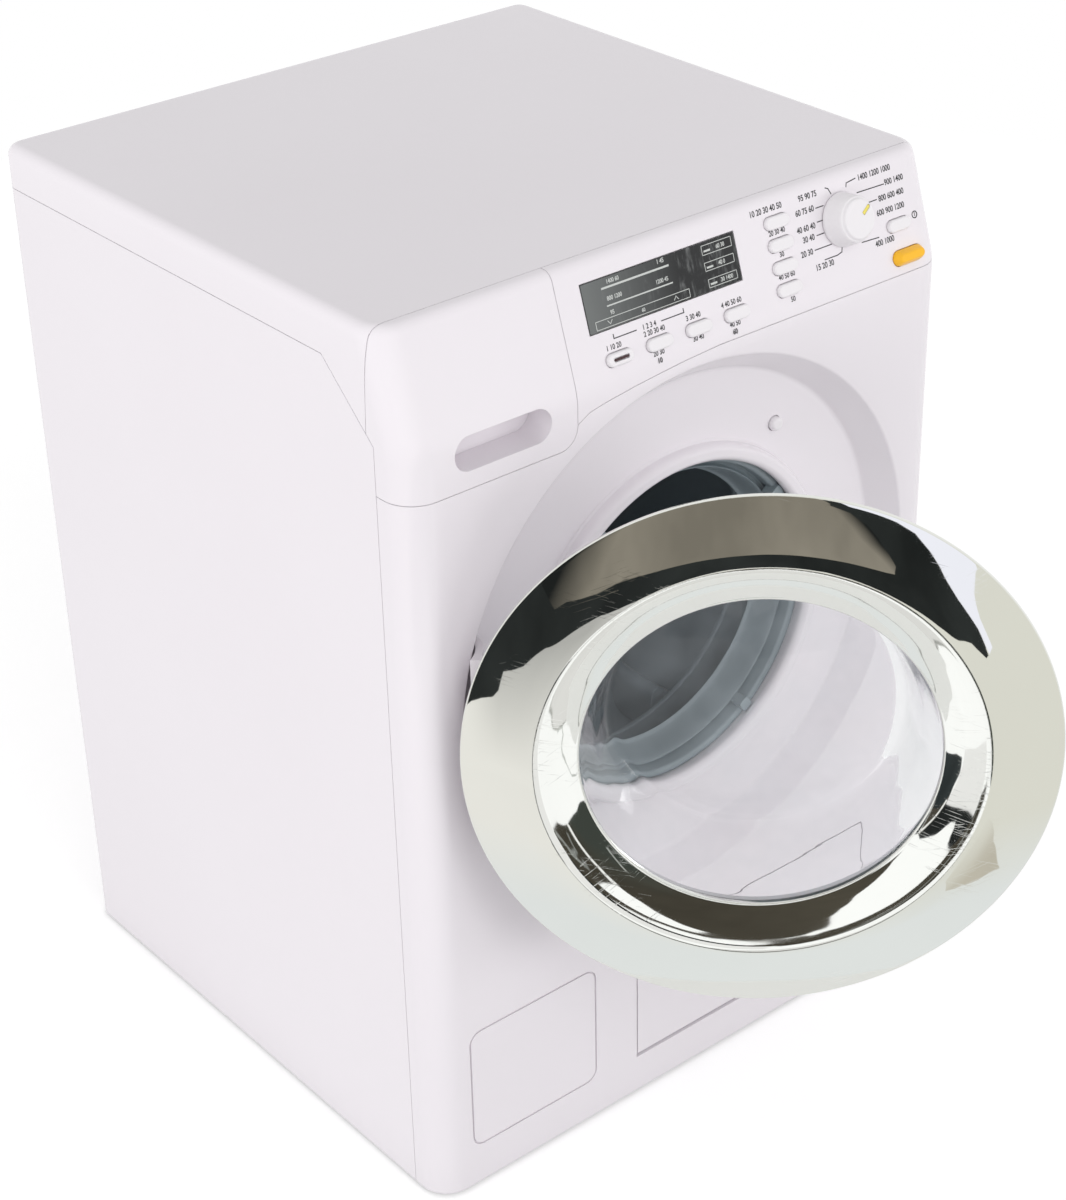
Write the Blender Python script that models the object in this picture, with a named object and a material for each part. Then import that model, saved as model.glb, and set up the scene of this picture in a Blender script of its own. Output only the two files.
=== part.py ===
# Toy front-loading washing machine, shown with its door swung open.
# Metres, +Z up. The origin is the centre of the flat underside, and -Y is the front.

import math

import bmesh
import bpy

# Overall body
BODY_WIDTH = 0.1844
BODY_DEPTH = 0.1807
BODY_HEIGHT = 0.2600
WALL = 0.0022
FRONT_CORNER_RADIUS = 0.0090
REAR_CORNER_RADIUS = 0.0050
TOP_EDGE_RADIUS = 0.0035

# Clearances
SEAM_GAP = 0.0003
FIT_GAP = 0.0003
RUN_GAP = 0.0002
BUTTON_GAP = 0.00025
DOOR_GAP = 0.0012
OVERRUN = 0.0040
EMBED = 0.0006

# Leaning fascia at the top of the front
FASCIA_LEAN = math.radians(18.05)
FASCIA_DROP = 0.0298
FASCIA_BLEND_RADIUS = 0.0220

# Seams between the mouldings
FRONT_STRIP = 0.0120
SIDE_SEAM_TURN_DROP = 0.0300
SKIRT_DROP = 0.0123
SKIRT_SEAM_SETBACK = 0.03135
FASCIA_SEAM_LOW_SETBACK = 0.01475
FASCIA_SEAM_LOW_DROP = 0.0275
FASCIA_SEAM_TOP_SETBACK = 0.01305
DRAWER_WIDTH = 0.0531
DRAWER_DROP = 0.0431
DRAWER_CORNER_RADIUS = 0.0057
PANEL_DROP = 0.0306
PANEL_SEAM_FLAT_X = 0.0084
PANEL_DROOP_X_SHARES = (0.08, 0.29, 0.57, 1.0)
PANEL_DROOP_Z_SHARES = (0.31, 0.56, 0.79, 1.0)

# Round recess and throat in the front panel
RECESS_X = 0.0009
RECESS_HEIGHT = 0.1468
RECESS_RIM_RADIUS = 0.0789
RECESS_FLOOR_RADIUS = 0.0735
RECESS_DEPTH = 0.00805
RECESS_FILLET = 0.0010
THROAT_RADIUS = 0.0486
COLLAR_OUTER_RADIUS = 0.0528
COLLAR_RISE = 0.0038
COLLAR_ROUND = 0.0011

# Door, drawn closed in the hinge's own frame and swung open by its empty
DOOR_OPEN_ANGLE = math.radians(40.8)
HINGE_ARM_LENGTH = 0.0830
HINGE_AXIS_SETBACK = 0.00885
RIM_PROUD = 0.00495
RING_RADIUS = 0.0748
RING_LIP_WIDTH = 0.0008
RING_LIP_DROP = 0.0012
RING_CREST_RADIUS = 0.0570
RING_CREST_RISE = 0.0030
RING_WALL = 0.0016
GLASS_RADIUS = 0.0452
GLASS_DROP = 0.0020
RING_CROWN_SHARES = ((0.0, 0.0), (0.35, 0.46), (0.72, 0.86), (1.0, 1.0))
RING_CONE_SHARES = ((0.0, 0.0), (0.30, 0.22), (0.70, 0.76), (1.0, 1.0))
FRAME_RADIUS = 0.0676
FRAME_RIM_WALL = 0.0014
FRAME_WEB = 0.0016
FRAME_WEB_DROP = 0.0040
FRAME_INNER_RADIUS = 0.0469
FRAME_SEAT_RADIUS = 0.0520
FRAME_LEDGE = 0.0020
FRAME_LEDGE_RADIUS = 0.0540
BOWL_WALL = 0.0014
BOWL_FLANGE = 0.0012
BOWL_MOUTH_RADIUS = 0.0436
BOWL_DEPTH = 0.0248
BOWL_RADIUS_SHARES = (1.0, 0.93, 0.85, 0.72, 0.44, 0.0)
BOWL_DEPTH_SHARES = (0.04, 0.56, 0.85, 0.955, 0.993, 1.0)

# Hinge: steel pin, barrel and curved arm that reaches round the rim of the recess
PIN_RADIUS = 0.0012
BARREL_RADIUS = 0.0036
ARM_HALF_HEIGHT = 0.0247
ARM_CURVE_RADIUS = 0.0123
ARM_THICKNESS = 0.0020
ARM_WEB_ANGLE = math.radians(58)
ARM_END_ANGLE = math.radians(-20)
ARM_TAIL = 0.0200
SLOT_SIDE_GAP = 0.0010
SLOT_REACH_GAP = 0.0007
LUG_GAP = 0.0008
LUG_THICKNESS = 0.0030
LUG_WIDTH = 0.0090
LUG_BACK = 0.0040

# Door latch: hook on the door, slider in the cabinet
LATCH_RADIUS = 0.0620
HOOK_THICKNESS = 0.0026
HOOK_HALF_HEIGHT = 0.0040
HOOK_FOOT_DEPTH = 0.0015
HOOK_FOOT_MARGIN = 0.0020
HOOK_NOSE_LENGTH = 0.0029
HOOK_NOSE_DROP = 0.0022
HOOK_SHOULDER = 0.0016
LATCH_SLOT_MARGIN = 0.0014
SLIDER_THICKNESS = 0.0018
SLIDER_CLEARANCE = 0.0007
SLIDER_WIDTH = 0.0060
SLIDER_SETIN = 0.0162
SLIDER_BAR_HEIGHT = 0.0036
SLIDER_HEAD_LENGTH = 0.0080
GUIDE_WALL = 0.0018
GUIDE_LENGTH = 0.0040
GUIDE_COUNT = 2
GUIDE_RISE = 0.0232
GUIDE_PITCH = 0.0360

# Door switch pin beside the throat
SWITCH_RADIUS = 0.0600
SWITCH_ANGLE = math.radians(53.7)
SWITCH_PIN_RADIUS = 0.0020
SWITCH_PIN_PROUD = 0.0018
SWITCH_PIN_TIP = 0.0006
SWITCH_COLLAR_RADIUS = 0.0032
SWITCH_COLLAR = 0.0010
SWITCH_GUIDE_RADIUS = 0.0038
SWITCH_GUIDE_LENGTH = 0.0026
SWITCH_TRAVEL = 0.0010
SWITCH_BODY_WIDTH = 0.0150
SWITCH_BODY_HEIGHT = 0.0070
SWITCH_BODY_DEPTH = 0.0046
SWITCH_POST_RADIUS = 0.0013
SWITCH_PAD_RADIUS = 0.0030

# Gasket, tub and drum
GASKET_WALL = 0.0016
GASKET_LIP_RADIUS = 0.0466
GASKET_LIP_PROUD = 0.0022
GASKET_WAIST_RADIUS = 0.0405
GASKET_CONE_LENGTH = 0.0112
GASKET_SLEEVE_RADIUS = 0.0520
GASKET_FLANGE_RADIUS = 0.0545
GASKET_LUG_ANGLE = math.radians(-54)
GASKET_LUG_COUNT = 4
GASKET_LUG_WIDTH = 0.0034
GASKET_LUG_DEPTH = 0.0040
GASKET_LUG_LENGTH = 0.0036
TUB_FRONT_SETBACK = 0.02235
TUB_WALL = 0.0020
TUB_RADIUS = 0.0660
TUB_RIM_RADIUS = 0.0690
TUB_RIM_DEPTH = 0.0058
DRIVE_SPACE = 0.06055
TUB_EAR_RADIUS = 0.0050
TUB_EAR_CIRCLE = 0.0725
TUB_EAR_ANGLES = tuple(math.radians(45 + 90 * k) for k in range(4))
TUB_BOSS_RADIUS = 0.0036
TUB_HUB_RADIUS = 0.0095
TUB_HUB_LENGTH = 0.0080
DRUM_INNER_RADIUS = 0.0580
DRUM_WALL = 0.0016
DRUM_LIP_RADIUS = 0.0455
DRUM_LIP_GAP = 0.0060
DRUM_BACK_SPACE = 0.0098
DRUM_HUB_RADIUS = 0.0090
DRUM_HUB_LENGTH = 0.0062
DRUM_DOME_RADIUS = 0.0180
DRUM_DOME_RISE = 0.0040
LIFTER_COUNT = 3
LIFTER_ANGLE = math.radians(-67)
LIFTER_HEIGHT = 0.0117
LIFTER_HALF_BASE = 0.0072
LIFTER_END_MARGIN = 0.0020
LIFTER_SIDE_SHARES = ((1.0, 0.0), (0.62, 0.42), (0.40, 0.80), (0.24, 0.95))
SHAFT_RADIUS = 0.0030
BEARING_RADIUS = 0.0060

# Gears, motor and its bracket
GEAR_MODULE = 0.0020
GEAR_TEETH = 30
PINION_TEETH = 10
GEAR_WIDTH = 0.0060
GEAR_BACKLASH = 0.0004
GEAR_ADDENDUM_SHARE = 0.88
GEAR_DEDENDUM_SHARE = 1.30
GEAR_SPACE = 0.0010
PRESSURE_ANGLE = math.radians(20)
BRACKET_THICKNESS = 0.0020
BRACKET_HALF_WIDTH = 0.0430
BRACKET_TOP = 0.0390
BRACKET_BOTTOM = 0.0580
BRACKET_CORNER = 0.0060
BRACKET_SPACE = 0.0030
POST_RADIUS = 0.0030
POST_X = 0.0380
POST_TOP = 0.0332
POST_BOTTOM = 0.0348
MOTOR_RADIUS = 0.0120
MOTOR_LENGTH = 0.0280
MOTOR_NOSE_RADIUS = 0.0035
MOTOR_NOSE_LENGTH = 0.0017
MOTOR_SHAFT_RADIUS = 0.0010
MOTOR_BORE_DEPTH = 0.0040

# Controls on the fascia: x along the machine, s down the slope from its top edge
DISPLAY_LEFT = -0.0315
DISPLAY_RIGHT = 0.0199
DISPLAY_TOP = 0.0053
DISPLAY_BOTTOM = 0.0183
DISPLAY_DEPTH = 0.0011
DISPLAY_PROUD = 0.0001
BUTTON_LENGTH = 0.0084
BUTTON_HEIGHT = 0.0034
BUTTON_PROUD = 0.0012
BUTTON_ROUND = 0.0004
BUTTON_FLANGE_MARGIN = 0.0008
BUTTON_FLANGE = 0.0010
BUTTON_TRAVEL = 0.0008
ROW_S = 0.0258
ROW_X = (-0.0241, -0.0109, 0.0023, 0.0155)
COLUMN_X = 0.0345
COLUMN_S = (0.0069, 0.0128, 0.0187, 0.0246)
POWER_SETIN = 0.0156
POWER_S = 0.0187
LENS_LENGTH = 0.0052
LENS_HEIGHT = 0.0011
LENS_DEPTH = 0.0005
KNOB_SETIN = 0.0350
KNOB_S = 0.0123
KNOB_RADIUS = 0.0076
KNOB_FACE_RADIUS = 0.0056
KNOB_HEIGHT = 0.0078
KNOB_SHAFT_RADIUS = 0.0029
KNOB_ROUND = 0.0009
KNOB_DOME = 0.0003
POINTER_WIDTH = 0.0012
POINTER_LENGTH = 0.0030
POINTER_DEPTH = 0.0008
POINTER_ANGLE = math.radians(20)
POINTER_OFFSET = 0.0034
DOOR_BUTTON_SETIN = 0.0142
DOOR_BUTTON_S = 0.0275
DOOR_BUTTON_LENGTH = 0.0110
DOOR_BUTTON_HEIGHT = 0.0048
DOOR_BUTTON_PROUD = 0.0026
DOOR_BUTTON_SHOULDER = 0.0009
DOOR_BUTTON_TAPER = 0.0022
DOOR_STEM_RADIUS = 0.0016
DOOR_STEM_LENGTH = 0.0090
BOARD_GAP = 0.0038
BOARD_THICKNESS = 0.0016
BOARD_LEFT = -0.0360
BOARD_SETIN = 0.0052
BOARD_TOP = 0.0035
BOARD_BOTTOM = 0.0285
BOARD_NOTCH_X = 0.0680
BOARD_NOTCH_S = 0.0228
SWITCH_BLOCK_LENGTH = 0.0046
SWITCH_BLOCK_HEIGHT = 0.0030
SELECTOR_SIZE = 0.0100
BOARD_POST_RADIUS = 0.0015
BOARD_POSTS = ((-0.0335, 0.0110), (0.0265, 0.0110), (0.0265, 0.0215), (0.0845, 0.0110))

# Detergent drawer
HANDLE_SETIN = 0.0149
HANDLE_LENGTH = 0.0300
HANDLE_DROP = 0.0383
HANDLE_HEIGHT = 0.0091
HANDLE_DEPTH = 0.0090
HANDLE_WALL = 0.0012
TRAY_SETIN = 0.0112
TRAY_WIDTH = 0.0350
TRAY_DROP = 0.0404
TRAY_HEIGHT = 0.0184
TRAY_LENGTH = 0.0570
TRAY_WALL = 0.0014
TRAY_DIVIDER_SHARE = 0.42
HOUSING_WALL = 0.0014
HOUSING_GAP = 0.0003

# Service flap and the pocket behind it
FLAP_SETIN = 0.0162
FLAP_WIDTH = 0.0958
FLAP_BOTTOM = 0.0126
FLAP_TOP = 0.0533
FLAP_NOTCH_WIDTH = 0.0060
FLAP_NOTCH_HEIGHT = 0.0160
FLAP_GAP = 0.0004
FLAP_THICKNESS = 0.0018
FLAP_ROD_RADIUS = 0.0014
FLAP_PIN_RADIUS = 0.0008
FLAP_PIN_LENGTH = 0.0012
POCKET_DEPTH = 0.0140
POCKET_WALL = 0.0016
POCKET_MARGIN = 0.0016

# Engraved outline of a small cover at the lower left
COVER_SETIN = 0.0117
COVER_WIDTH = 0.0451
COVER_BOTTOM = 0.0130
COVER_TOP = 0.0530
COVER_CORNER = 0.0040
GROOVE_WIDTH = 0.0005
GROOVE_DEPTH = 0.0006

# Base, batteries and speaker
BASE_THICKNESS = 0.0024
BASE_RIM = 0.0085
BASE_RIM_WALL = 0.0016
BATTERY_WIDTH = 0.0620
BATTERY_LENGTH = 0.0590
BATTERY_SETIN = 0.00935
BATTERY_HEIGHT = 0.0180
BATTERY_WALL = 0.0016
BATTERY_LEDGE = 0.0022
BATTERY_COVER = 0.0019
SPEAKER_SETIN = 0.0382
SPEAKER_Y = 0.0100
SPEAKER_RADIUS = 0.0140
SPEAKER_MAGNET_RADIUS = 0.0075
SPEAKER_BASKET = 0.0030
SPEAKER_HEIGHT = 0.0070
SPEAKER_RING = 0.0014
SPEAKER_SLOTS = 5
SPEAKER_SLOT_WIDTH = 0.0014
SPEAKER_SLOT_LENGTH = 0.0150
SPEAKER_SLOT_PITCH = 0.0036

# Rear wall
VENT_COUNT = 6
VENT_LENGTH = 0.0460
VENT_HEIGHT = 0.0024
VENT_PITCH = 0.0070
VENT_LOW = 0.0560

# Facets
CORNER_STEPS = 4
REAR_STEPS = 2
EDGE_STEPS = 3
PILL_STEPS = 4
RECESS_FACETS = 40
DRUM_FACETS = 32
KNOB_FACETS = 24
ROD_FACETS = 12
BARREL_STEPS = 14
ARM_STEPS = 8
SMOOTH_ANGLE = math.radians(32)

# Places worked out from the sizes above
FRONT = -BODY_DEPTH / 2
BACK = BODY_DEPTH / 2
HALF = BODY_WIDTH / 2
FASCIA_BREAK_HEIGHT = BODY_HEIGHT - FASCIA_DROP
SIDE_SEAM_TURN_HEIGHT = BODY_HEIGHT - SIDE_SEAM_TURN_DROP
SKIRT_SEAM_HEIGHT = BODY_HEIGHT - SKIRT_DROP
FASCIA_SEAM_LOW_HEIGHT = BODY_HEIGHT - FASCIA_SEAM_LOW_DROP
DRAWER_SEAM_HEIGHT = BODY_HEIGHT - DRAWER_DROP
PANEL_SEAM_HEIGHT = BODY_HEIGHT - PANEL_DROP
DRAWER_SEAM_X = DRAWER_WIDTH - HALF
HANDLE_LEFT = HANDLE_SETIN - HALF
HANDLE_RIGHT = HANDLE_LEFT + HANDLE_LENGTH
HANDLE_BOTTOM = BODY_HEIGHT - HANDLE_DROP
HANDLE_TOP = HANDLE_BOTTOM + HANDLE_HEIGHT
TRAY_LEFT = TRAY_SETIN - HALF
TRAY_RIGHT = TRAY_LEFT + TRAY_WIDTH
TRAY_BOTTOM = BODY_HEIGHT - TRAY_DROP
COVER_LEFT = COVER_SETIN - HALF
COVER_RIGHT = COVER_LEFT + COVER_WIDTH
FLAP_RIGHT = HALF - FLAP_SETIN
FLAP_LEFT = FLAP_RIGHT - FLAP_WIDTH
SPEAKER_X = SPEAKER_SETIN - HALF
POWER_X = HALF - POWER_SETIN
KNOB_X = HALF - KNOB_SETIN
DOOR_BUTTON_X = HALF - DOOR_BUTTON_SETIN
SLIDER_X = HALF - SLIDER_SETIN
BOARD_RIGHT = HALF - BOARD_SETIN
BATTERY_LEFT = -BATTERY_WIDTH / 2
BATTERY_RIGHT = BATTERY_WIDTH / 2
BATTERY_BACK = BACK - BATTERY_SETIN
BATTERY_FRONT = BATTERY_BACK - BATTERY_LENGTH
SIDE_SEAM_Y = FRONT + FRONT_STRIP
FLOOR_Y = FRONT + RECESS_DEPTH
FLOOR_BACK_Y = FLOOR_Y + WALL
HINGE_X = RECESS_X - HINGE_ARM_LENGTH
HINGE_Y = FRONT + HINGE_AXIS_SETBACK
RIM_PLANE = HINGE_AXIS_SETBACK + RIM_PROUD
TUB_FRONT_Y = FRONT + TUB_FRONT_SETBACK
TUB_BACK_Y = BACK - DRIVE_SPACE
DRUM_FRONT_Y = TUB_FRONT_Y + TUB_WALL + DRUM_LIP_GAP
DRUM_BACK_Y = TUB_BACK_Y - DRUM_BACK_SPACE
TUB_HUB_Y = TUB_BACK_Y + TUB_HUB_LENGTH
GEAR_Y = TUB_HUB_Y + GEAR_SPACE
BRACKET_Y = GEAR_Y + GEAR_WIDTH + BRACKET_SPACE
GEAR_RADIUS = GEAR_MODULE * GEAR_TEETH / 2
PINION_RADIUS = GEAR_MODULE * PINION_TEETH / 2
MOTOR_HEIGHT = RECESS_HEIGHT - GEAR_RADIUS - PINION_RADIUS
SLIDER_Y = FLOOR_BACK_Y + SLIDER_CLEARANCE
SLIDER_BACK_Y = SLIDER_Y + SLIDER_THICKNESS
BAR_TOP_Z = RECESS_HEIGHT - FIT_GAP
PLATE_TILT = math.pi / 2 - FASCIA_LEAN


# How an outline's two coordinates and the level across it become a point
AXIS_PLACES = {"X": lambda a, b, along: (along, a, b), "Y": lambda a, b, along: (a, along, b),
               "Z": lambda a, b, along: (a, b, along)}


# Outlines in two dimensions

def arc(centre_a, centre_b, radius, start, end, steps):
    """Points from one angle to another, both ends kept."""
    turns = [start + (end - start) * k / steps for k in range(steps + 1)]
    return [(centre_a + radius * math.cos(t), centre_b + radius * math.sin(t)) for t in turns]


def rounded_box(low_a, high_a, low_b, high_b, radius, steps=CORNER_STEPS):
    quarter = math.pi / 2
    corners = ((high_a - radius, low_b + radius, -quarter), (high_a - radius, high_b - radius, 0),
               (low_a + radius, high_b - radius, quarter), (low_a + radius, low_b + radius, math.pi))
    points = []
    for centre_a, centre_b, start in corners:
        points += arc(centre_a, centre_b, radius, start, start + quarter, steps)
    return points


def pill(length, height):
    """Outline with two half-round ends."""
    radius = height / 2
    reach = length / 2 - radius
    quarter = math.pi / 2
    return (arc(reach, 0, radius, -quarter, quarter, PILL_STEPS)
            + arc(-reach, 0, radius, quarter, math.pi + quarter, PILL_STEPS))


def offset_line(points, distance):
    """Shift an open line to its left by a distance, with mitred corners."""
    sides = []
    for (a0, b0), (a1, b1) in zip(points, points[1:]):
        length = math.hypot(a1 - a0, b1 - b0)
        sides.append(((b0 - b1) / length, (a1 - a0) / length))
    shifted = []
    for index, (a, b) in enumerate(points):
        before = sides[max(index - 1, 0)]
        after = sides[min(index, len(sides) - 1)]
        spread = 1 + before[0] * after[0] + before[1] * after[1]
        shift = distance / spread
        shifted.append((a + (before[0] + after[0]) * shift, b + (before[1] + after[1]) * shift))
    return shifted


# Solids as bmesh data

def closed(mesh_data):
    bmesh.ops.recalc_face_normals(mesh_data, faces=mesh_data.faces[:])
    return mesh_data


def loft(loops):
    """Closed solid through rings of points with the same count, capped at both ends."""
    mesh_data = bmesh.new()
    rings = [[mesh_data.verts.new(point) for point in loop] for loop in loops]
    count = len(rings[0])
    for low, high in zip(rings, rings[1:]):
        for k in range(count):
            mesh_data.faces.new((low[k], low[(k + 1) % count], high[(k + 1) % count], high[k]))
    mesh_data.faces.new(rings[0])
    mesh_data.faces.new(rings[-1])
    return closed(mesh_data)


def prism(outline, axis, low, high):
    """Outline in the plane across the axis, drawn out from low to high."""
    place = AXIS_PLACES[axis]
    return loft([[place(a, b, level) for a, b in outline] for level in (low, high)])


def block(x_low, x_high, y_low, y_high, z_low, z_high):
    outline = ((x_low, y_low), (x_high, y_low), (x_high, y_high), (x_low, y_high))
    return prism(outline, "Z", z_low, z_high)


def lathe(profile, axis, centre, facets):
    """Turn a closed outline of (radius, along) points round an axis through the centre."""
    mesh_data = bmesh.new()
    place = AXIS_PLACES[axis]
    rings = []
    for radius, along in profile:
        ring = []
        for k in range(facets if radius > 0 else 1):
            turn = 2 * math.pi * k / facets
            a, b = centre[0] + radius * math.cos(turn), centre[1] + radius * math.sin(turn)
            ring.append(mesh_data.verts.new(place(a, b, along)))
        rings.append(ring)
    levels = [along for radius, along in profile]
    for first, second, low, high in zip(rings, rings[1:] + rings[:1], levels, levels[1:] + levels[:1]):
        if len(first) == 1 and len(second) == 1:
            continue
        if low == high and 1 in (len(first), len(second)):
            mesh_data.faces.new(max(first, second, key=len))
            continue
        for k in range(facets):
            corners = [first[k % len(first)], first[(k + 1) % len(first)],
                       second[(k + 1) % len(second)], second[k % len(second)]]
            unique = [v for n, v in enumerate(corners) if v not in corners[:n]]
            mesh_data.faces.new(unique)
    bmesh.ops.delete(mesh_data, geom=[v for v in mesh_data.verts if not v.link_faces], context="VERTS")
    return closed(mesh_data)


def rod(radius, axis, centre, low, high, facets=ROD_FACETS):
    return lathe(((0, low), (radius, low), (radius, high), (0, high)), axis, centre, facets)


# Objects, materials and joining

def clear_scene():
    for item in list(bpy.data.objects):
        bpy.data.objects.remove(item, do_unlink=True)


def material(name, colour, roughness, metallic=0.0, transmission=0.0):
    made = bpy.data.materials.get(name)
    if made:
        return made
    made = bpy.data.materials.new(name)
    made.use_nodes = True
    made.diffuse_color = (*colour, 1.0)
    shader = made.node_tree.nodes["Principled BSDF"]
    shader.inputs["Base Color"].default_value = (*colour, 1.0)
    shader.inputs["Roughness"].default_value = roughness
    shader.inputs["Metallic"].default_value = metallic
    shader.inputs["Transmission Weight"].default_value = transmission
    return made


def white_plastic():
    return material("white_plastic", (0.86, 0.84, 0.87), 0.28)


def chrome_plate():
    return material("chrome_plate", (0.80, 0.80, 0.78), 0.05, metallic=1.0)


def clear_plastic():
    return material("clear_plastic", (0.90, 0.92, 0.92), 0.04, transmission=1.0)


def grey_plastic():
    return material("grey_plastic", (0.20, 0.23, 0.25), 0.42)


def dark_plastic():
    return material("dark_plastic", (0.045, 0.050, 0.055), 0.45)


def display_black():
    return material("display_black", (0.030, 0.033, 0.036), 0.08)


def button_yellow():
    return material("button_yellow", (1.0, 0.50, 0.03), 0.30)


def steel():
    return material("steel", (0.55, 0.55, 0.56), 0.30, metallic=1.0)


def board_green():
    return material("board_green", (0.03, 0.16, 0.07), 0.45)


def gear_white():
    return material("gear_white", (0.78, 0.77, 0.72), 0.40)


def empty(name, location, rotation=(0, 0, 0)):
    frame = bpy.data.objects.new(name, None)
    frame.location = location
    frame.rotation_euler = rotation
    bpy.context.collection.objects.link(frame)
    bpy.context.view_layer.update()
    return frame


def make(name, mesh_data, look=None, parent=None, location=(0, 0, 0), rotation=(0, 0, 0)):
    mesh = bpy.data.meshes.new(name)
    mesh_data.to_mesh(mesh)
    mesh_data.free()
    item = bpy.data.objects.new(name, mesh)
    if look:
        mesh.materials.append(look)
    bpy.context.collection.objects.link(item)
    item.parent = parent
    item.location = location
    item.rotation_euler = rotation
    bpy.context.view_layer.update()
    return item


def combine(target, mesh_data, operation, parent=None, location=(0, 0, 0), rotation=(0, 0, 0)):
    """Join, cut or keep the common part, and keep the result as the target's own mesh."""
    tool = make("tool", mesh_data, None, parent, location, rotation)
    step = target.modifiers.new("step", "BOOLEAN")
    step.operation = operation
    step.solver = "EXACT"
    step.object = tool
    result = bpy.data.meshes.new_from_object(target.evaluated_get(bpy.context.evaluated_depsgraph_get()))
    target.modifiers.remove(step)
    old = target.data
    target.data = result
    bpy.data.meshes.remove(old)
    spare = tool.data
    bpy.data.objects.remove(tool, do_unlink=True)
    bpy.data.meshes.remove(spare)
    return target


def cut(target, mesh_data, **place):
    return combine(target, mesh_data, "DIFFERENCE", **place)


def join(target, mesh_data, **place):
    return combine(target, mesh_data, "UNION", **place)


def smooth(item):
    item.data.shade_smooth()
    item.data.set_sharp_from_angle(angle=SMOOTH_ANGLE)
    return item


# Outer form of the machine

def body_form(inset, bottom):
    """The whole outer form, moved in by an inset, as a stack of level outlines."""
    top = BODY_HEIGHT - inset
    edge = max(TOP_EDGE_RADIUS - inset, SEAM_GAP)
    blend = FASCIA_BLEND_RADIUS - inset
    face = FRONT + inset
    turn = FASCIA_BREAK_HEIGHT - inset * math.tan(FASCIA_LEAN / 2)
    start = turn - blend * math.tan(FASCIA_LEAN / 2)
    levels = [(bottom, face, 0)]
    for k in range(EDGE_STEPS + 1):
        angle = FASCIA_LEAN * k / EDGE_STEPS
        levels.append((start + blend * math.sin(angle), face + blend * (1 - math.cos(angle)), 0))
    touch = top - edge + edge * math.sin(FASCIA_LEAN)
    plane = face + (touch - turn) * math.tan(FASCIA_LEAN)
    centre = plane + edge * math.cos(FASCIA_LEAN)
    low = face + (top - edge - turn) * math.tan(FASCIA_LEAN)
    levels.append((top - edge, low, 0))
    for k in range(EDGE_STEPS + 1):
        angle = FASCIA_LEAN + (math.pi / 2 - FASCIA_LEAN) * k / EDGE_STEPS
        levels.append((top - edge + edge * math.sin(angle), centre - edge * math.cos(angle),
                       edge * (1 - math.cos(angle))))
    return loft([level_outline(inset, *level) for level in levels])


def level_outline(inset, height, front, drawn_in):
    half = HALF - inset - drawn_in
    back = BACK - inset - drawn_in
    quarter = math.pi / 2
    near = max(FRONT_CORNER_RADIUS - inset - drawn_in, SEAM_GAP)
    far = max(REAR_CORNER_RADIUS - inset - drawn_in, SEAM_GAP)
    points = arc(-half + near, front + near, near, math.pi, math.pi + quarter, CORNER_STEPS)
    points += arc(half - near, front + near, near, -quarter, 0, CORNER_STEPS)
    points += arc(half - far, back - far, far, 0, quarter, REAR_STEPS)
    points += arc(-half + far, back - far, far, quarter, math.pi, REAR_STEPS)
    return [(x, y, height) for x, y in points]


def body_shell():
    shell = make("shell", body_form(0, 0))
    return cut(shell, body_form(WALL, -OVERRUN))


def moulding(name, shell, look):
    piece = bpy.data.objects.new(name, shell.data.copy())
    piece.data.materials.append(look)
    bpy.context.collection.objects.link(piece)
    bpy.context.view_layer.update()
    return piece


# Seam lines. Each is drawn so that its left side is the side that the offset moves to.

def side_seam():
    """Side view: up the front strip, along the slope and back under the skirt."""
    return [(SIDE_SEAM_Y, -OVERRUN), (SIDE_SEAM_Y, SIDE_SEAM_TURN_HEIGHT),
            (FRONT + SKIRT_SEAM_SETBACK, SKIRT_SEAM_HEIGHT), (BACK + OVERRUN, SKIRT_SEAM_HEIGHT)]


def fascia_seam():
    """Side view: up the front strip and on to the top edge."""
    return [(SIDE_SEAM_Y, -OVERRUN), (SIDE_SEAM_Y, SIDE_SEAM_TURN_HEIGHT),
            (FRONT + FASCIA_SEAM_LOW_SETBACK, FASCIA_SEAM_LOW_HEIGHT),
            (FRONT + FASCIA_SEAM_TOP_SETBACK, BODY_HEIGHT + OVERRUN)]


def top_seam():
    """Side view: down behind the fascia, up the slope and back under the skirt."""
    return [(FRONT + FASCIA_SEAM_TOP_SETBACK, BODY_HEIGHT + OVERRUN),
            (FRONT + FASCIA_SEAM_LOW_SETBACK, FASCIA_SEAM_LOW_HEIGHT),
            (FRONT + SKIRT_SEAM_SETBACK, SKIRT_SEAM_HEIGHT), (BACK + OVERRUN, SKIRT_SEAM_HEIGHT)]


def drawer_corner():
    """Front view: the round lower right corner of the drawer."""
    return arc(DRAWER_SEAM_X - DRAWER_CORNER_RADIUS, DRAWER_SEAM_HEIGHT + DRAWER_CORNER_RADIUS,
               DRAWER_CORNER_RADIUS, -math.pi / 2, 0, CORNER_STEPS)


def panel_droop():
    """Front view: lower edge of the control panel, rising from its left tip to its level run."""
    tip = DRAWER_SEAM_HEIGHT + DRAWER_CORNER_RADIUS
    run = PANEL_SEAM_FLAT_X - DRAWER_SEAM_X
    rise = PANEL_SEAM_HEIGHT - tip
    return [(DRAWER_SEAM_X + run * along, tip + rise * up)
            for along, up in zip(PANEL_DROOP_X_SHARES, PANEL_DROOP_Z_SHARES)]


def cut_beyond(piece, line, distance, corners, axis):
    """Cut away what lies between a shifted seam line and the given far corners."""
    outline = offset_line(line, distance) + corners
    reach = HALF + OVERRUN
    low, high = (-reach, reach) if axis == "X" else (FRONT - OVERRUN, BACK)
    return cut(piece, prism(outline, axis, low, high))


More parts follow.
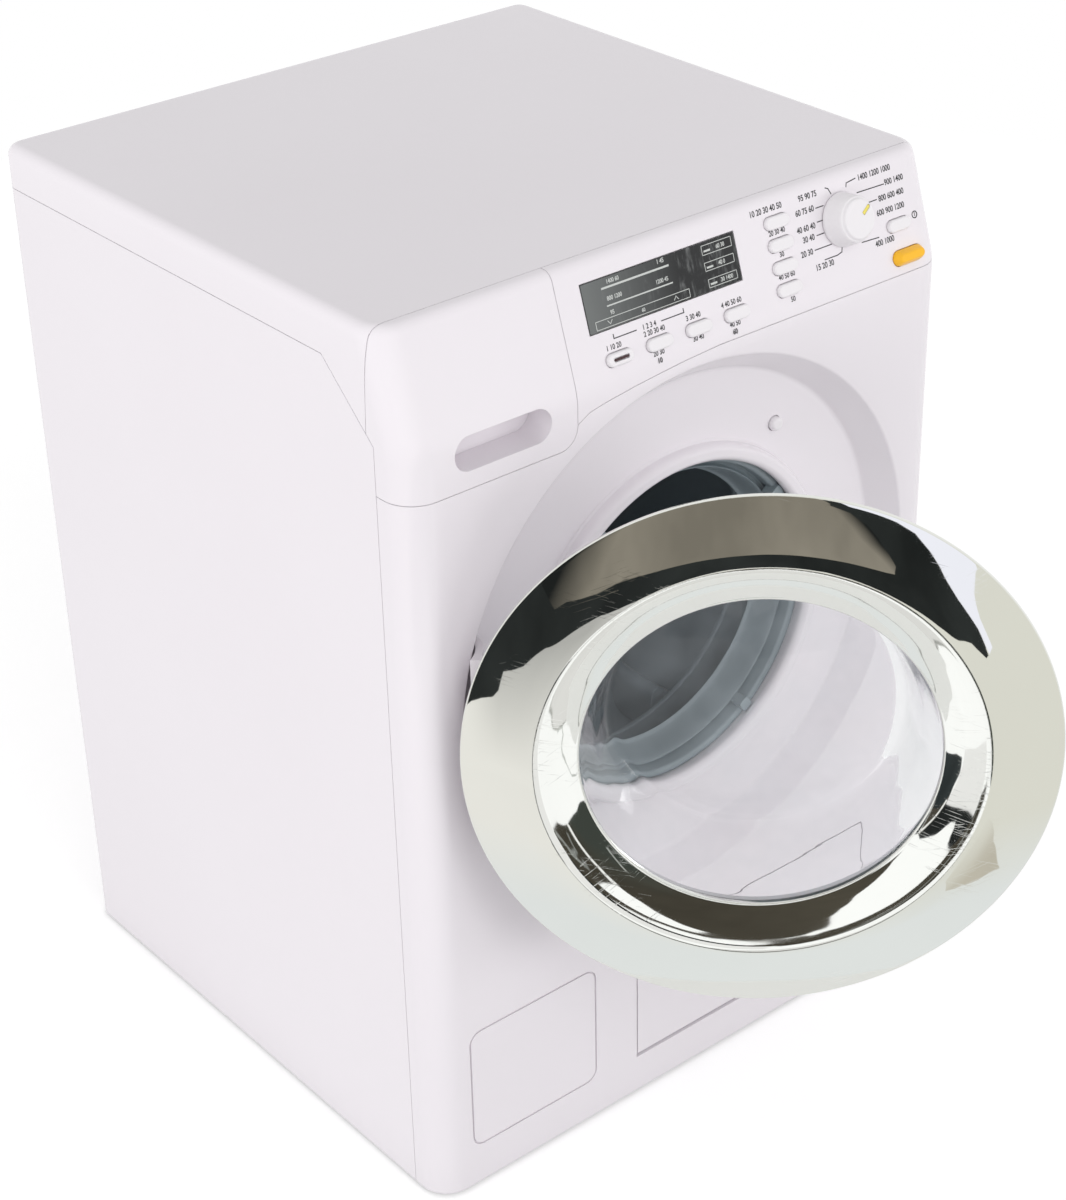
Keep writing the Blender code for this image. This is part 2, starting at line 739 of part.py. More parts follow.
def side_shell(shell):
    piece = moulding("side_shell", shell, white_plastic())
    above = [(BACK + OVERRUN, BODY_HEIGHT + OVERRUN), (FRONT - OVERRUN, BODY_HEIGHT + OVERRUN),
             (FRONT - OVERRUN, -OVERRUN)]
    cut_beyond(piece, side_seam(), -SEAM_GAP / 2, above, "X")
    for k in range(VENT_COUNT):
        low = VENT_LOW + VENT_PITCH * k
        slot = rounded_box(-VENT_LENGTH / 2, VENT_LENGTH / 2, low, low + VENT_HEIGHT, VENT_HEIGHT / 2, EDGE_STEPS)
        cut(piece, prism(slot, "Y", BACK - WALL - OVERRUN, BACK + OVERRUN))
    return smooth(piece)


def top_cover(shell):
    piece = moulding("top_cover", shell, white_plastic())
    below = [(BACK + OVERRUN, -OVERRUN), (FRONT - OVERRUN, -OVERRUN),
             (FRONT - OVERRUN, BODY_HEIGHT + OVERRUN)]
    cut_beyond(piece, top_seam(), SEAM_GAP / 2, below, "X")
    return smooth(piece)


def fascia_strip(name, shell):
    """The part of the shell in front of the side seams."""
    piece = moulding(name, shell, white_plastic())
    behind = [(BACK + OVERRUN, BODY_HEIGHT + OVERRUN), (BACK + OVERRUN, -OVERRUN)]
    return cut_beyond(piece, fascia_seam(), SEAM_GAP / 2, behind, "X")


# Front panel with the recess

def recess_cutter():
    slope = (RECESS_RIM_RADIUS - RECESS_FLOOR_RADIUS) / RECESS_DEPTH
    mouth = FRONT - OVERRUN
    crest = FLOOR_Y - COLLAR_RISE
    back = FLOOR_BACK_Y + OVERRUN
    profile = [(0, mouth), (RECESS_RIM_RADIUS + slope * OVERRUN, mouth),
               (RECESS_FLOOR_RADIUS + slope * RECESS_FILLET, FLOOR_Y - RECESS_FILLET),
               (RECESS_FLOOR_RADIUS - RECESS_FILLET, FLOOR_Y),
               (COLLAR_OUTER_RADIUS, FLOOR_Y), (COLLAR_OUTER_RADIUS - COLLAR_ROUND / 3, crest + COLLAR_ROUND),
               (COLLAR_OUTER_RADIUS - COLLAR_ROUND, crest + COLLAR_ROUND / 4),
               ((COLLAR_OUTER_RADIUS + THROAT_RADIUS) / 2, crest),
               (THROAT_RADIUS + COLLAR_ROUND / 2, crest + COLLAR_ROUND / 3),
               (THROAT_RADIUS, crest + COLLAR_ROUND), (THROAT_RADIUS, back), (0, back)]
    return lathe(profile, "Y", (RECESS_X, RECESS_HEIGHT), RECESS_FACETS)


def recess_dish():
    """Solid cone behind the front plate, from which the recess is cut."""
    profile = [(0, FRONT + WALL / 2), (RECESS_RIM_RADIUS + WALL, FRONT + WALL / 2),
               (RECESS_FLOOR_RADIUS + WALL, FLOOR_BACK_Y), (0, FLOOR_BACK_Y)]
    return lathe(profile, "Y", (RECESS_X, RECESS_HEIGHT), RECESS_FACETS)


def hinge_slot(piece):
    """Slot behind the left rim of the recess, and the edge of the rim cut square above it."""
    half = ARM_HALF_HEIGHT + SLOT_SIDE_GAP
    reach = HINGE_X + ARM_CURVE_RADIUS + ARM_THICKNESS + SLOT_REACH_GAP
    low, high = RECESS_HEIGHT - half, RECESS_HEIGHT + half
    cut(piece, block(HINGE_X - LUG_WIDTH / 2, reach, FRONT + WALL, FLOOR_BACK_Y + OVERRUN, low, high))
    edge = make("edge", rod(RECESS_RIM_RADIUS, "Y", (RECESS_X, RECESS_HEIGHT), FRONT - OVERRUN,
                            FRONT + WALL + EMBED, RECESS_FACETS))
    combine(edge, block(HINGE_X - LUG_WIDTH, reach, FRONT - 2 * OVERRUN, FRONT + WALL + OVERRUN, low, high),
            "INTERSECT")
    mesh_data = bmesh.new()
    mesh_data.from_mesh(edge.data)
    bpy.data.objects.remove(edge, do_unlink=True)
    return cut(piece, mesh_data)


def hinge_lugs(piece):
    start = ARM_HALF_HEIGHT + SLOT_SIDE_GAP + LUG_GAP
    left = HINGE_X - LUG_WIDTH / 2
    for side in (-1, 1):
        ends = sorted((RECESS_HEIGHT + side * start, RECESS_HEIGHT + side * (start + LUG_THICKNESS)))
        join(piece, block(left, left + LUG_WIDTH, FRONT + WALL / 2, HINGE_Y + LUG_BACK, *ends))
    pin_half = start + LUG_THICKNESS + OVERRUN
    return cut(piece, rod(PIN_RADIUS + RUN_GAP, "Z", (HINGE_X, HINGE_Y),
                          RECESS_HEIGHT - pin_half, RECESS_HEIGHT + pin_half))


def slider_guides(piece):
    left = SLIDER_X - SLIDER_WIDTH / 2 - FIT_GAP
    right = SLIDER_X + SLIDER_WIDTH / 2 + FIT_GAP
    for k in range(GUIDE_COUNT):
        height = RECESS_HEIGHT + GUIDE_RISE + GUIDE_PITCH * k
        ends = (height - GUIDE_LENGTH / 2, height + GUIDE_LENGTH / 2)
        join(piece, block(left - GUIDE_WALL, right + GUIDE_WALL, FRONT + WALL / 2,
                          SLIDER_BACK_Y + FIT_GAP + GUIDE_WALL, *ends))
        cut(piece, block(left, right, SLIDER_Y - FIT_GAP, SLIDER_BACK_Y + FIT_GAP,
                         ends[0] - OVERRUN, ends[1] + OVERRUN))
    return piece


def ear_places():
    return [(RECESS_X + TUB_EAR_CIRCLE * math.cos(angle), RECESS_HEIGHT + TUB_EAR_CIRCLE * math.sin(angle))
            for angle in TUB_EAR_ANGLES]


def switch_place():
    return (RECESS_X + SWITCH_RADIUS * math.cos(SWITCH_ANGLE),
            RECESS_HEIGHT + SWITCH_RADIUS * math.sin(SWITCH_ANGLE))


def switch_posts():
    x, z = switch_place()
    reach = SWITCH_BODY_WIDTH / 2 - SWITCH_POST_RADIUS
    return [(x - reach, z), (x + reach, z)]


def switch_body_front():
    return FLOOR_BACK_Y + SWITCH_GUIDE_LENGTH + FIT_GAP + SWITCH_COLLAR + SWITCH_TRAVEL + FIT_GAP


def flap_outline(margin):
    """Front view of the flap, with the finger notch out of its upper right corner."""
    left, right = FLAP_LEFT - margin, FLAP_RIGHT + margin
    low, high = FLAP_BOTTOM - margin, FLAP_TOP + margin
    return [(left, low), (right, low), (right, FLAP_TOP - FLAP_NOTCH_HEIGHT + margin),
            (FLAP_RIGHT - FLAP_NOTCH_WIDTH + margin, FLAP_TOP - FLAP_NOTCH_HEIGHT + margin),
            (FLAP_RIGHT - FLAP_NOTCH_WIDTH + margin, high), (left, high)]


def flap_axis():
    return (FRONT + FLAP_ROD_RADIUS, FLAP_BOTTOM + FLAP_ROD_RADIUS)


def service_pocket(piece):
    """Tray behind the flap, open to the front, with sockets for the flap's pins."""
    outer = POCKET_MARGIN + POCKET_WALL
    join(piece, block(FLAP_LEFT - outer, FLAP_RIGHT + outer, FRONT + WALL / 2, FRONT + POCKET_DEPTH + POCKET_WALL,
                      FLAP_BOTTOM - outer, FLAP_TOP + outer))
    cut(piece, block(FLAP_LEFT - POCKET_MARGIN, FLAP_RIGHT + POCKET_MARGIN, FRONT + WALL, FRONT + POCKET_DEPTH,
                     FLAP_BOTTOM - POCKET_MARGIN, FLAP_TOP + POCKET_MARGIN))
    cut(piece, prism(flap_outline(FLAP_GAP), "Y", FRONT - OVERRUN, FRONT + WALL + EMBED))
    reach = FLAP_GAP + FLAP_PIN_LENGTH + FIT_GAP
    return cut(piece, rod(FLAP_PIN_RADIUS + RUN_GAP, "X", flap_axis(), FLAP_LEFT - reach, FLAP_RIGHT + reach))


def cover_groove(piece):
    outer = rounded_box(COVER_LEFT, COVER_RIGHT, COVER_BOTTOM, COVER_TOP, COVER_CORNER)
    inner = rounded_box(COVER_LEFT + GROOVE_WIDTH, COVER_RIGHT - GROOVE_WIDTH, COVER_BOTTOM + GROOVE_WIDTH,
                        COVER_TOP - GROOVE_WIDTH, COVER_CORNER - GROOVE_WIDTH)
    ring = make("ring", prism(outer, "Y", FRONT - OVERRUN, FRONT + GROOVE_DEPTH))
    cut(ring, prism(inner, "Y", FRONT - 2 * OVERRUN, FRONT + GROOVE_DEPTH + OVERRUN))
    mesh_data = bmesh.new()
    mesh_data.from_mesh(ring.data)
    bpy.data.objects.remove(ring, do_unlink=True)
    return cut(piece, mesh_data)


def front_panel(shell):
    piece = fascia_strip("front_panel", shell)
    line = [(-HALF - OVERRUN, DRAWER_SEAM_HEIGHT)] + drawer_corner() + panel_droop()
    line.append((HALF + OVERRUN, PANEL_SEAM_HEIGHT))
    above = [(HALF + OVERRUN, BODY_HEIGHT + OVERRUN), (-HALF - OVERRUN, BODY_HEIGHT + OVERRUN)]
    cut_beyond(piece, line, -SEAM_GAP / 2, above, "Y")
    join(piece, recess_dish())
    hinge_lugs(piece)
    slider_guides(piece)
    for place in ear_places():
        join(piece, rod(TUB_BOSS_RADIUS, "Y", place, FLOOR_Y + WALL / 2, TUB_FRONT_Y - FIT_GAP))
    x, z = switch_place()
    join(piece, rod(SWITCH_GUIDE_RADIUS, "Y", (x, z), FLOOR_Y + WALL / 2, FLOOR_BACK_Y + SWITCH_GUIDE_LENGTH))
    for place in switch_posts():
        join(piece, rod(SWITCH_POST_RADIUS, "Y", place, FLOOR_Y + WALL / 2, switch_body_front() - FIT_GAP))
    cut(piece, recess_cutter())
    hinge_slot(piece)
    cut(piece, rod(SWITCH_PIN_RADIUS + RUN_GAP, "Y", (x, z), FRONT, switch_body_front()))
    slot_half = HOOK_HALF_HEIGHT + LATCH_SLOT_MARGIN
    hook_x = RECESS_X + LATCH_RADIUS
    slot_side = HOOK_THICKNESS / 2 + LATCH_SLOT_MARGIN
    cut(piece, block(hook_x - slot_side, hook_x + slot_side, FLOOR_Y - OVERRUN, FLOOR_BACK_Y + OVERRUN,
                     RECESS_HEIGHT - slot_half, RECESS_HEIGHT + slot_half))
    service_pocket(piece)
    cover_groove(piece)
    return smooth(piece)


def hinge_pin():
    half = ARM_HALF_HEIGHT + SLOT_SIDE_GAP + LUG_GAP + LUG_THICKNESS
    return smooth(make("hinge_pin", rod(PIN_RADIUS, "Z", (HINGE_X, HINGE_Y),
                                        RECESS_HEIGHT - half, RECESS_HEIGHT + half), steel()))


# Door

def ring_front():
    """Front face of the chrome ring, from the lip in to the glass, as (radius, rise)."""
    start = RING_RADIUS - RING_LIP_WIDTH
    points = [(RING_RADIUS, -RING_LIP_DROP / 2), (RING_RADIUS - RING_LIP_WIDTH / 4, -RING_LIP_DROP / 8)]
    for along, up in RING_CROWN_SHARES:
        points.append((start + (RING_CREST_RADIUS - start) * along, RING_CREST_RISE * up))
    fall = RING_CREST_RISE + GLASS_DROP
    for along, down in RING_CONE_SHARES[1:]:
        points.append((RING_CREST_RADIUS + (GLASS_RADIUS - RING_CREST_RADIUS) * along,
                       RING_CREST_RISE - fall * down))
    return points


def ring_back():
    """Back face of the ring, from the glass out to the lip."""
    return [(GLASS_RADIUS, -GLASS_DROP - RING_WALL * 3 / 4), (RING_CREST_RADIUS, RING_CREST_RISE - RING_WALL),
            (RING_RADIUS - RING_LIP_WIDTH, -RING_WALL), (RING_RADIUS - RING_LIP_WIDTH / 3, -RING_LIP_DROP)]


def behind_ring(radius):
    """Height of the ring's back face at a radius."""
    table = ring_back()
    for (r0, h0), (r1, h1) in zip(table, table[1:]):
        if r0 <= radius <= r1:
            return h0 + (h1 - h0) * (radius - r0) / (r1 - r0)
    return table[-1][1]


def turned_on_door(profile, facets):
    """Rise is measured forward from the rim plane, so it runs along -Y in the hinge's frame."""
    outline = [(radius, -RIM_PLANE - rise) for radius, rise in profile]
    return lathe(outline, "Y", (HINGE_ARM_LENGTH, 0), facets)


def door_ring(hinge):
    piece = make("door_ring", turned_on_door(ring_front() + ring_back(), RECESS_FACETS), chrome_plate(), hinge)
    return smooth(piece)


def frame_back():
    """Height of the frame's inner end, clear of the recess floor with the door shut."""
    return -(RIM_PROUD + RECESS_DEPTH - DOOR_GAP)


def arm_outline():
    """Top view of the barrel, web, curved arm and tail, round the hinge axis."""
    inner, outer = ARM_CURVE_RADIUS, ARM_CURVE_RADIUS + ARM_THICKNESS
    half = ARM_THICKNESS / 2
    spread = math.asin(half / BARREL_RADIUS)
    near = math.asin(half / inner)
    far = math.asin(half / outer)
    points = arc(0, 0, BARREL_RADIUS, ARM_WEB_ANGLE + spread, ARM_WEB_ANGLE + 2 * math.pi - spread, BARREL_STEPS)
    points += arc(0, 0, inner, ARM_WEB_ANGLE - near, ARM_END_ANGLE - near, ARM_STEPS)
    low = inner * math.sin(ARM_END_ANGLE - near)
    points.append((ARM_TAIL, low))
    points.append((ARM_TAIL, low + ARM_THICKNESS))
    end = math.asin((low + ARM_THICKNESS) / outer)
    points += arc(0, 0, outer, end, ARM_WEB_ANGLE + far, ARM_STEPS)
    return points


def door_frame(hinge):
    rim_in = FRAME_RADIUS - FRAME_RIM_WALL
    web_front, web_back = -FRAME_WEB_DROP, -FRAME_WEB_DROP - FRAME_WEB
    seat = -GLASS_DROP - RING_WALL * 3 / 4 - FIT_GAP - BOWL_FLANGE - FIT_GAP
    ledge = seat - FRAME_LEDGE
    profile = [(FRAME_RADIUS, behind_ring(FRAME_RADIUS) - FIT_GAP), (rim_in, behind_ring(rim_in) - FIT_GAP),
               (rim_in, web_front), (FRAME_SEAT_RADIUS, web_front), (FRAME_SEAT_RADIUS, seat),
               (FRAME_INNER_RADIUS, seat), (FRAME_INNER_RADIUS, ledge), (FRAME_LEDGE_RADIUS, ledge),
               (FRAME_LEDGE_RADIUS, web_back), (rim_in, web_back), (rim_in, frame_back()),
               (FRAME_RADIUS, frame_back())]
    piece = make("door_frame", turned_on_door(profile, RECESS_FACETS), white_plastic(), hinge)
    join(piece, prism(arm_outline(), "Z", -ARM_HALF_HEIGHT, ARM_HALF_HEIGHT), parent=hinge)
    cut(piece, rod(PIN_RADIUS + RUN_GAP, "Z", (0, 0), -ARM_HALF_HEIGHT - OVERRUN, ARM_HALF_HEIGHT + OVERRUN),
        parent=hinge)
    pad_end = HINGE_AXIS_SETBACK - RECESS_DEPTH + SWITCH_PIN_PROUD + FIT_GAP
    place = (HINGE_ARM_LENGTH + SWITCH_RADIUS * math.cos(SWITCH_ANGLE), SWITCH_RADIUS * math.sin(SWITCH_ANGLE))
    join(piece, rod(SWITCH_PAD_RADIUS, "Y", place, -RIM_PLANE - web_back - FRAME_WEB / 2, -pad_end), parent=hinge)
    return smooth(piece)


def door_bowl(hinge):
    flange_front = -GLASS_DROP - RING_WALL * 3 / 4 - FIT_GAP
    flange_back = flange_front - BOWL_FLANGE
    hollow = [(BOWL_MOUTH_RADIUS * r, flange_front - BOWL_DEPTH * d)
              for r, d in zip(BOWL_RADIUS_SHARES, BOWL_DEPTH_SHARES)]
    outside = [(r + BOWL_WALL if r > 0 else 0, h - BOWL_WALL * d)
               for (r, h), d in zip(hollow, BOWL_DEPTH_SHARES)]
    outside.reverse()
    outside[-1] = (BOWL_MOUTH_RADIUS + BOWL_WALL, flange_back)
    rim = FRAME_SEAT_RADIUS - FIT_GAP
    profile = [(rim, flange_front), (BOWL_MOUTH_RADIUS + BOWL_WALL / 2, flange_front)] + hollow + outside
    profile.append((rim, flange_back))
    return smooth(make("door_bowl", turned_on_door(profile, RECESS_FACETS), clear_plastic(), hinge))


def latch_hook(hinge):
    """Hook on the back of the frame; its nose catches behind the slider's bar."""
    foot = RIM_PLANE - FRAME_WEB_DROP - FRAME_WEB - FIT_GAP
    bar_front = HINGE_Y - SLIDER_Y
    bar_back = HINGE_Y - SLIDER_BACK_Y
    nose = bar_back - FIT_GAP
    tip = nose - HOOK_NOSE_LENGTH
    top = HOOK_HALF_HEIGHT
    outline = [(-foot, top), (-tip, top), (-tip, top / 4), (-nose + HOOK_NOSE_LENGTH / 3, -HOOK_NOSE_DROP),
               (-nose, -HOOK_NOSE_DROP), (-nose, 0), (-bar_front - FIT_GAP * 2, 0),
               (-bar_front - HOOK_SHOULDER, -top), (-foot, -top)]
    x = HINGE_ARM_LENGTH + LATCH_RADIUS
    side = HOOK_THICKNESS / 2
    piece = make("latch_hook", prism(outline, "X", x - side, x + side), white_plastic(), hinge)
    wide = side + HOOK_FOOT_MARGIN
    tall = top + HOOK_FOOT_MARGIN
    join(piece, block(x - wide, x + wide, -foot, -foot + HOOK_FOOT_DEPTH, -tall, tall), parent=hinge)
    return smooth(piece)


# Latch slider and door button

def slope_point(s, out):
    """World (y, z) of a place on the fascia: s down the slope, out along its normal."""
    top = FRONT + (BODY_HEIGHT - FASCIA_BREAK_HEIGHT) * math.tan(FASCIA_LEAN)
    return (top - s * math.sin(FASCIA_LEAN) - out * math.cos(FASCIA_LEAN),
            BODY_HEIGHT - s * math.cos(FASCIA_LEAN) + out * math.sin(FASCIA_LEAN))


def latch_slider():
    """Flat strip that the door button's stem pushes down by the wedge on its head."""
    stem_y, stem_z = slope_point(DOOR_BUTTON_S + DOOR_STEM_RADIUS, -DOOR_STEM_LENGTH)
    left, right = SLIDER_X - SLIDER_WIDTH / 2, SLIDER_X + SLIDER_WIDTH / 2
    low = BAR_TOP_Z - SLIDER_BAR_HEIGHT
    wedge = stem_z - FIT_GAP * 2
    piece = make("latch_slider", prism([(SLIDER_Y, low), (SLIDER_BACK_Y, low),
                                        (SLIDER_BACK_Y, wedge + SLIDER_BACK_Y - stem_y),
                                        (stem_y - DOOR_STEM_RADIUS, wedge - DOOR_STEM_RADIUS),
                                        (SLIDER_Y, wedge - SLIDER_HEAD_LENGTH)], "X", left, right), white_plastic())
    bar_left = RECESS_X + LATCH_RADIUS - HOOK_THICKNESS / 2 - LATCH_SLOT_MARGIN
    join(piece, block(bar_left, left + EMBED, SLIDER_Y, SLIDER_BACK_Y, low, BAR_TOP_Z))
    return smooth(piece)


def pill_stack(levels):
    """Loft of pill outlines given as (length, height, level)."""
    return loft([[(a, b, level) for a, b in pill(length, height)] for length, height, level in levels])


def button_body(length, height, proud, round_edge):
    under = -WALL - FIT_GAP
    margin = 2 * BUTTON_FLANGE_MARGIN
    return pill_stack(((length + margin, height + margin, under - BUTTON_FLANGE),
                       (length + margin, height + margin, under), (length, height, under),
                       (length, height, proud - round_edge),
                       (length - 2 * round_edge, height - 2 * round_edge, proud)))


def push_button(name, plate, x, s):
    data = button_body(BUTTON_LENGTH, BUTTON_HEIGHT, BUTTON_PROUD, BUTTON_ROUND)
    return smooth(make(name, data, white_plastic(), plate, (x, -s, 0)))


def start_button(plate):
    """The first button of the row has a slot for a dark lens."""
    piece = push_button("start_button", plate, ROW_X[0], ROW_S)
    slot = pill_stack(((LENS_LENGTH, LENS_HEIGHT, BUTTON_PROUD - LENS_DEPTH),
                       (LENS_LENGTH, LENS_HEIGHT, BUTTON_PROUD + OVERRUN)))
    cut(piece, slot, parent=plate, location=(ROW_X[0], -ROW_S, 0))
    gap = 2 * BUTTON_GAP
    lens = pill_stack(((LENS_LENGTH - gap, LENS_HEIGHT - gap, BUTTON_PROUD - LENS_DEPTH + BUTTON_GAP),
                       (LENS_LENGTH - gap, LENS_HEIGHT - gap, BUTTON_PROUD)))
    make("start_lens", lens, dark_plastic(), plate, (ROW_X[0], -ROW_S, 0))
    return smooth(piece)


def door_button(plate):
    """Yellow button with sloping ends, and the stem that reaches the latch slider."""
    under = -WALL - 2 * FIT_GAP
    margin = 2 * BUTTON_FLANGE_MARGIN
    long, tall = DOOR_BUTTON_LENGTH, DOOR_BUTTON_HEIGHT
    data = pill_stack(((long + margin, tall + margin, under - BUTTON_FLANGE), (long + margin, tall + margin, under),
                       (long, tall, under), (long, tall, DOOR_BUTTON_SHOULDER),
                       (long - DOOR_BUTTON_TAPER, tall - DOOR_BUTTON_TAPER, DOOR_BUTTON_PROUD)))
    place = (DOOR_BUTTON_X, -DOOR_BUTTON_S, 0)
    piece = make("door_button", data, button_yellow(), plate, place)
    join(piece, rod(DOOR_STEM_RADIUS, "Z", (0, 0), -DOOR_STEM_LENGTH, under - BUTTON_FLANGE / 2),
         parent=plate, location=place)
    return smooth(piece)


# Control panel, knob, display and circuit board

def pill_hole(piece, plate, x, s, length, height):
    gap = 2 * BUTTON_GAP
    data = pill_stack(((length + gap, height + gap, -WALL - OVERRUN), (length + gap, height + gap, OVERRUN)))
    return cut(piece, data, parent=plate, location=(x, -s, 0))


def button_places():
    """Name, x and s of the eight plain buttons."""
    places = [("row_button_%d" % k, ROW_X[k], ROW_S) for k in range(1, len(ROW_X))]
    places += [("column_button_%d" % (k + 1), COLUMN_X, s) for k, s in enumerate(COLUMN_S)]
    places.append(("power_button", POWER_X, POWER_S))
    return places


def board_front():
    return -WALL - BOARD_GAP


def control_panel(shell, plate):
    piece = fascia_strip("control_panel", shell)
    line = [(DRAWER_SEAM_X, BODY_HEIGHT + OVERRUN), (DRAWER_SEAM_X, DRAWER_SEAM_HEIGHT + DRAWER_CORNER_RADIUS)]
    line += panel_droop() + [(HALF + OVERRUN, PANEL_SEAM_HEIGHT)]
    below = [(HALF + OVERRUN, -OVERRUN), (-HALF - OVERRUN, -OVERRUN), (-HALF - OVERRUN, BODY_HEIGHT + OVERRUN)]
    cut_beyond(piece, line, SEAM_GAP / 2, below, "Y")
    for x, s in BOARD_POSTS:
        join(piece, rod(BOARD_POST_RADIUS, "Z", (x, -s), board_front() + FIT_GAP, -WALL / 2), parent=plate)
    cut(piece, block(DISPLAY_LEFT, DISPLAY_RIGHT, -DISPLAY_BOTTOM, -DISPLAY_TOP, -DISPLAY_DEPTH, OVERRUN),
        parent=plate)
    pill_hole(piece, plate, ROW_X[0], ROW_S, BUTTON_LENGTH, BUTTON_HEIGHT)
    for name, x, s in button_places():
        pill_hole(piece, plate, x, s, BUTTON_LENGTH, BUTTON_HEIGHT)
    pill_hole(piece, plate, DOOR_BUTTON_X, DOOR_BUTTON_S, DOOR_BUTTON_LENGTH, DOOR_BUTTON_HEIGHT)
    cut(piece, rod(KNOB_SHAFT_RADIUS + FIT_GAP, "Z", (KNOB_X, -KNOB_S), -WALL - OVERRUN, OVERRUN), parent=plate)
    return smooth(piece)


def display_window(plate):
    data = block(DISPLAY_LEFT + FIT_GAP, DISPLAY_RIGHT - FIT_GAP, -DISPLAY_BOTTOM + FIT_GAP,
                 -DISPLAY_TOP - FIT_GAP, -DISPLAY_DEPTH + FIT_GAP, DISPLAY_PROUD)
    return make("display_window", data, display_black(), plate)


def circuit_board(plate):
    """Board behind the panel, with a switch under each button and the knob's selector."""
    front = board_front()
    outline = [(BOARD_LEFT, -BOARD_TOP), (BOARD_LEFT, -BOARD_BOTTOM), (BOARD_NOTCH_X, -BOARD_BOTTOM),
               (BOARD_NOTCH_X, -BOARD_NOTCH_S), (BOARD_RIGHT, -BOARD_NOTCH_S), (BOARD_RIGHT, -BOARD_TOP)]
    piece = make("circuit_board", prism(outline, "Z", front - BOARD_THICKNESS, front), board_green(), plate)
    top = -WALL - FIT_GAP - BUTTON_FLANGE - BUTTON_TRAVEL - FIT_GAP
    half_long, half_tall = SWITCH_BLOCK_LENGTH / 2, SWITCH_BLOCK_HEIGHT / 2
    places = [("start", ROW_X[0], ROW_S)] + button_places()
    for name, x, s in places:
        join(piece, block(x - half_long, x + half_long, -s - half_tall, -s + half_tall, front - EMBED, top),
             parent=plate)
    half = SELECTOR_SIZE / 2
    shaft_end = -WALL - BUTTON_FLANGE - BUTTON_TRAVEL
    join(piece, block(KNOB_X - half, KNOB_X + half, -KNOB_S - half, -KNOB_S + half, front - EMBED,
                      shaft_end - FIT_GAP), parent=plate)
    return piece


def knob_point(plate_offset, radius, angle):
    return (plate_offset[0] + radius * math.cos(angle), plate_offset[1] + radius * math.sin(angle))


def pointer_outline(margin):
    half = POINTER_WIDTH / 2 - margin
    long = POINTER_LENGTH / 2 - margin
    return [(-long, -half), (long, -half), (long + half, 0), (long, half), (-long, half)]


def program_knob(plate):
    shaft_end = -WALL - BUTTON_FLANGE - BUTTON_TRAVEL
    face = KNOB_HEIGHT
    profile = [(0, face + KNOB_DOME), (KNOB_FACE_RADIUS * 2 / 3, face + KNOB_DOME / 2),
               (KNOB_FACE_RADIUS, face), (KNOB_FACE_RADIUS + KNOB_ROUND / 2, face - KNOB_ROUND / 3),
               (KNOB_FACE_RADIUS + KNOB_ROUND, face - KNOB_ROUND), (KNOB_RADIUS - KNOB_ROUND / 4, KNOB_ROUND * 2),
               (KNOB_RADIUS, KNOB_ROUND), (KNOB_RADIUS, FIT_GAP), (KNOB_SHAFT_RADIUS, FIT_GAP),
               (KNOB_SHAFT_RADIUS, shaft_end), (0, shaft_end)]
    place = (KNOB_X, -KNOB_S, 0)
    piece = make("program_knob", lathe(profile, "Z", (0, 0), KNOB_FACETS), white_plastic(), plate, place)
    turn = (0, 0, math.pi / 2 - POINTER_ANGLE)
    spot = knob_point((KNOB_X, -KNOB_S), POINTER_OFFSET, math.pi / 2 - POINTER_ANGLE)
    cut(piece, prism(pointer_outline(0), "Z", face - POINTER_DEPTH, face + OVERRUN), parent=plate,
        location=(*spot, 0), rotation=turn)
    make("knob_pointer", prism(pointer_outline(BUTTON_GAP / 2), "Z", face - POINTER_DEPTH + BUTTON_GAP, face),
         button_yellow(), plate, (*spot, 0), turn)
    return smooth(piece)


# Door switch

def switch_pin():
    place = switch_place()
    tip = FLOOR_Y - SWITCH_PIN_PROUD
    collar = FLOOR_BACK_Y + SWITCH_GUIDE_LENGTH + FIT_GAP
    profile = [(0, tip), (SWITCH_PIN_RADIUS - SWITCH_PIN_TIP, tip), (SWITCH_PIN_RADIUS, tip + SWITCH_PIN_TIP),
               (SWITCH_PIN_RADIUS, collar), (SWITCH_COLLAR_RADIUS, collar),
               (SWITCH_COLLAR_RADIUS, collar + SWITCH_COLLAR), (0, collar + SWITCH_COLLAR)]
    return smooth(make("switch_pin", lathe(profile, "Y", place, ROD_FACETS), white_plastic()))


def door_switch():
    x, z = switch_place()
    front = switch_body_front()
    half = SWITCH_BODY_WIDTH / 2
    return make("door_switch", block(x - half, x + half, front, front + SWITCH_BODY_DEPTH,
                                     z - SWITCH_BODY_HEIGHT / 2, z + SWITCH_BODY_HEIGHT / 2), dark_plastic())


# Gasket, tub, drum and drive

AXIS = (RECESS_X, RECESS_HEIGHT)


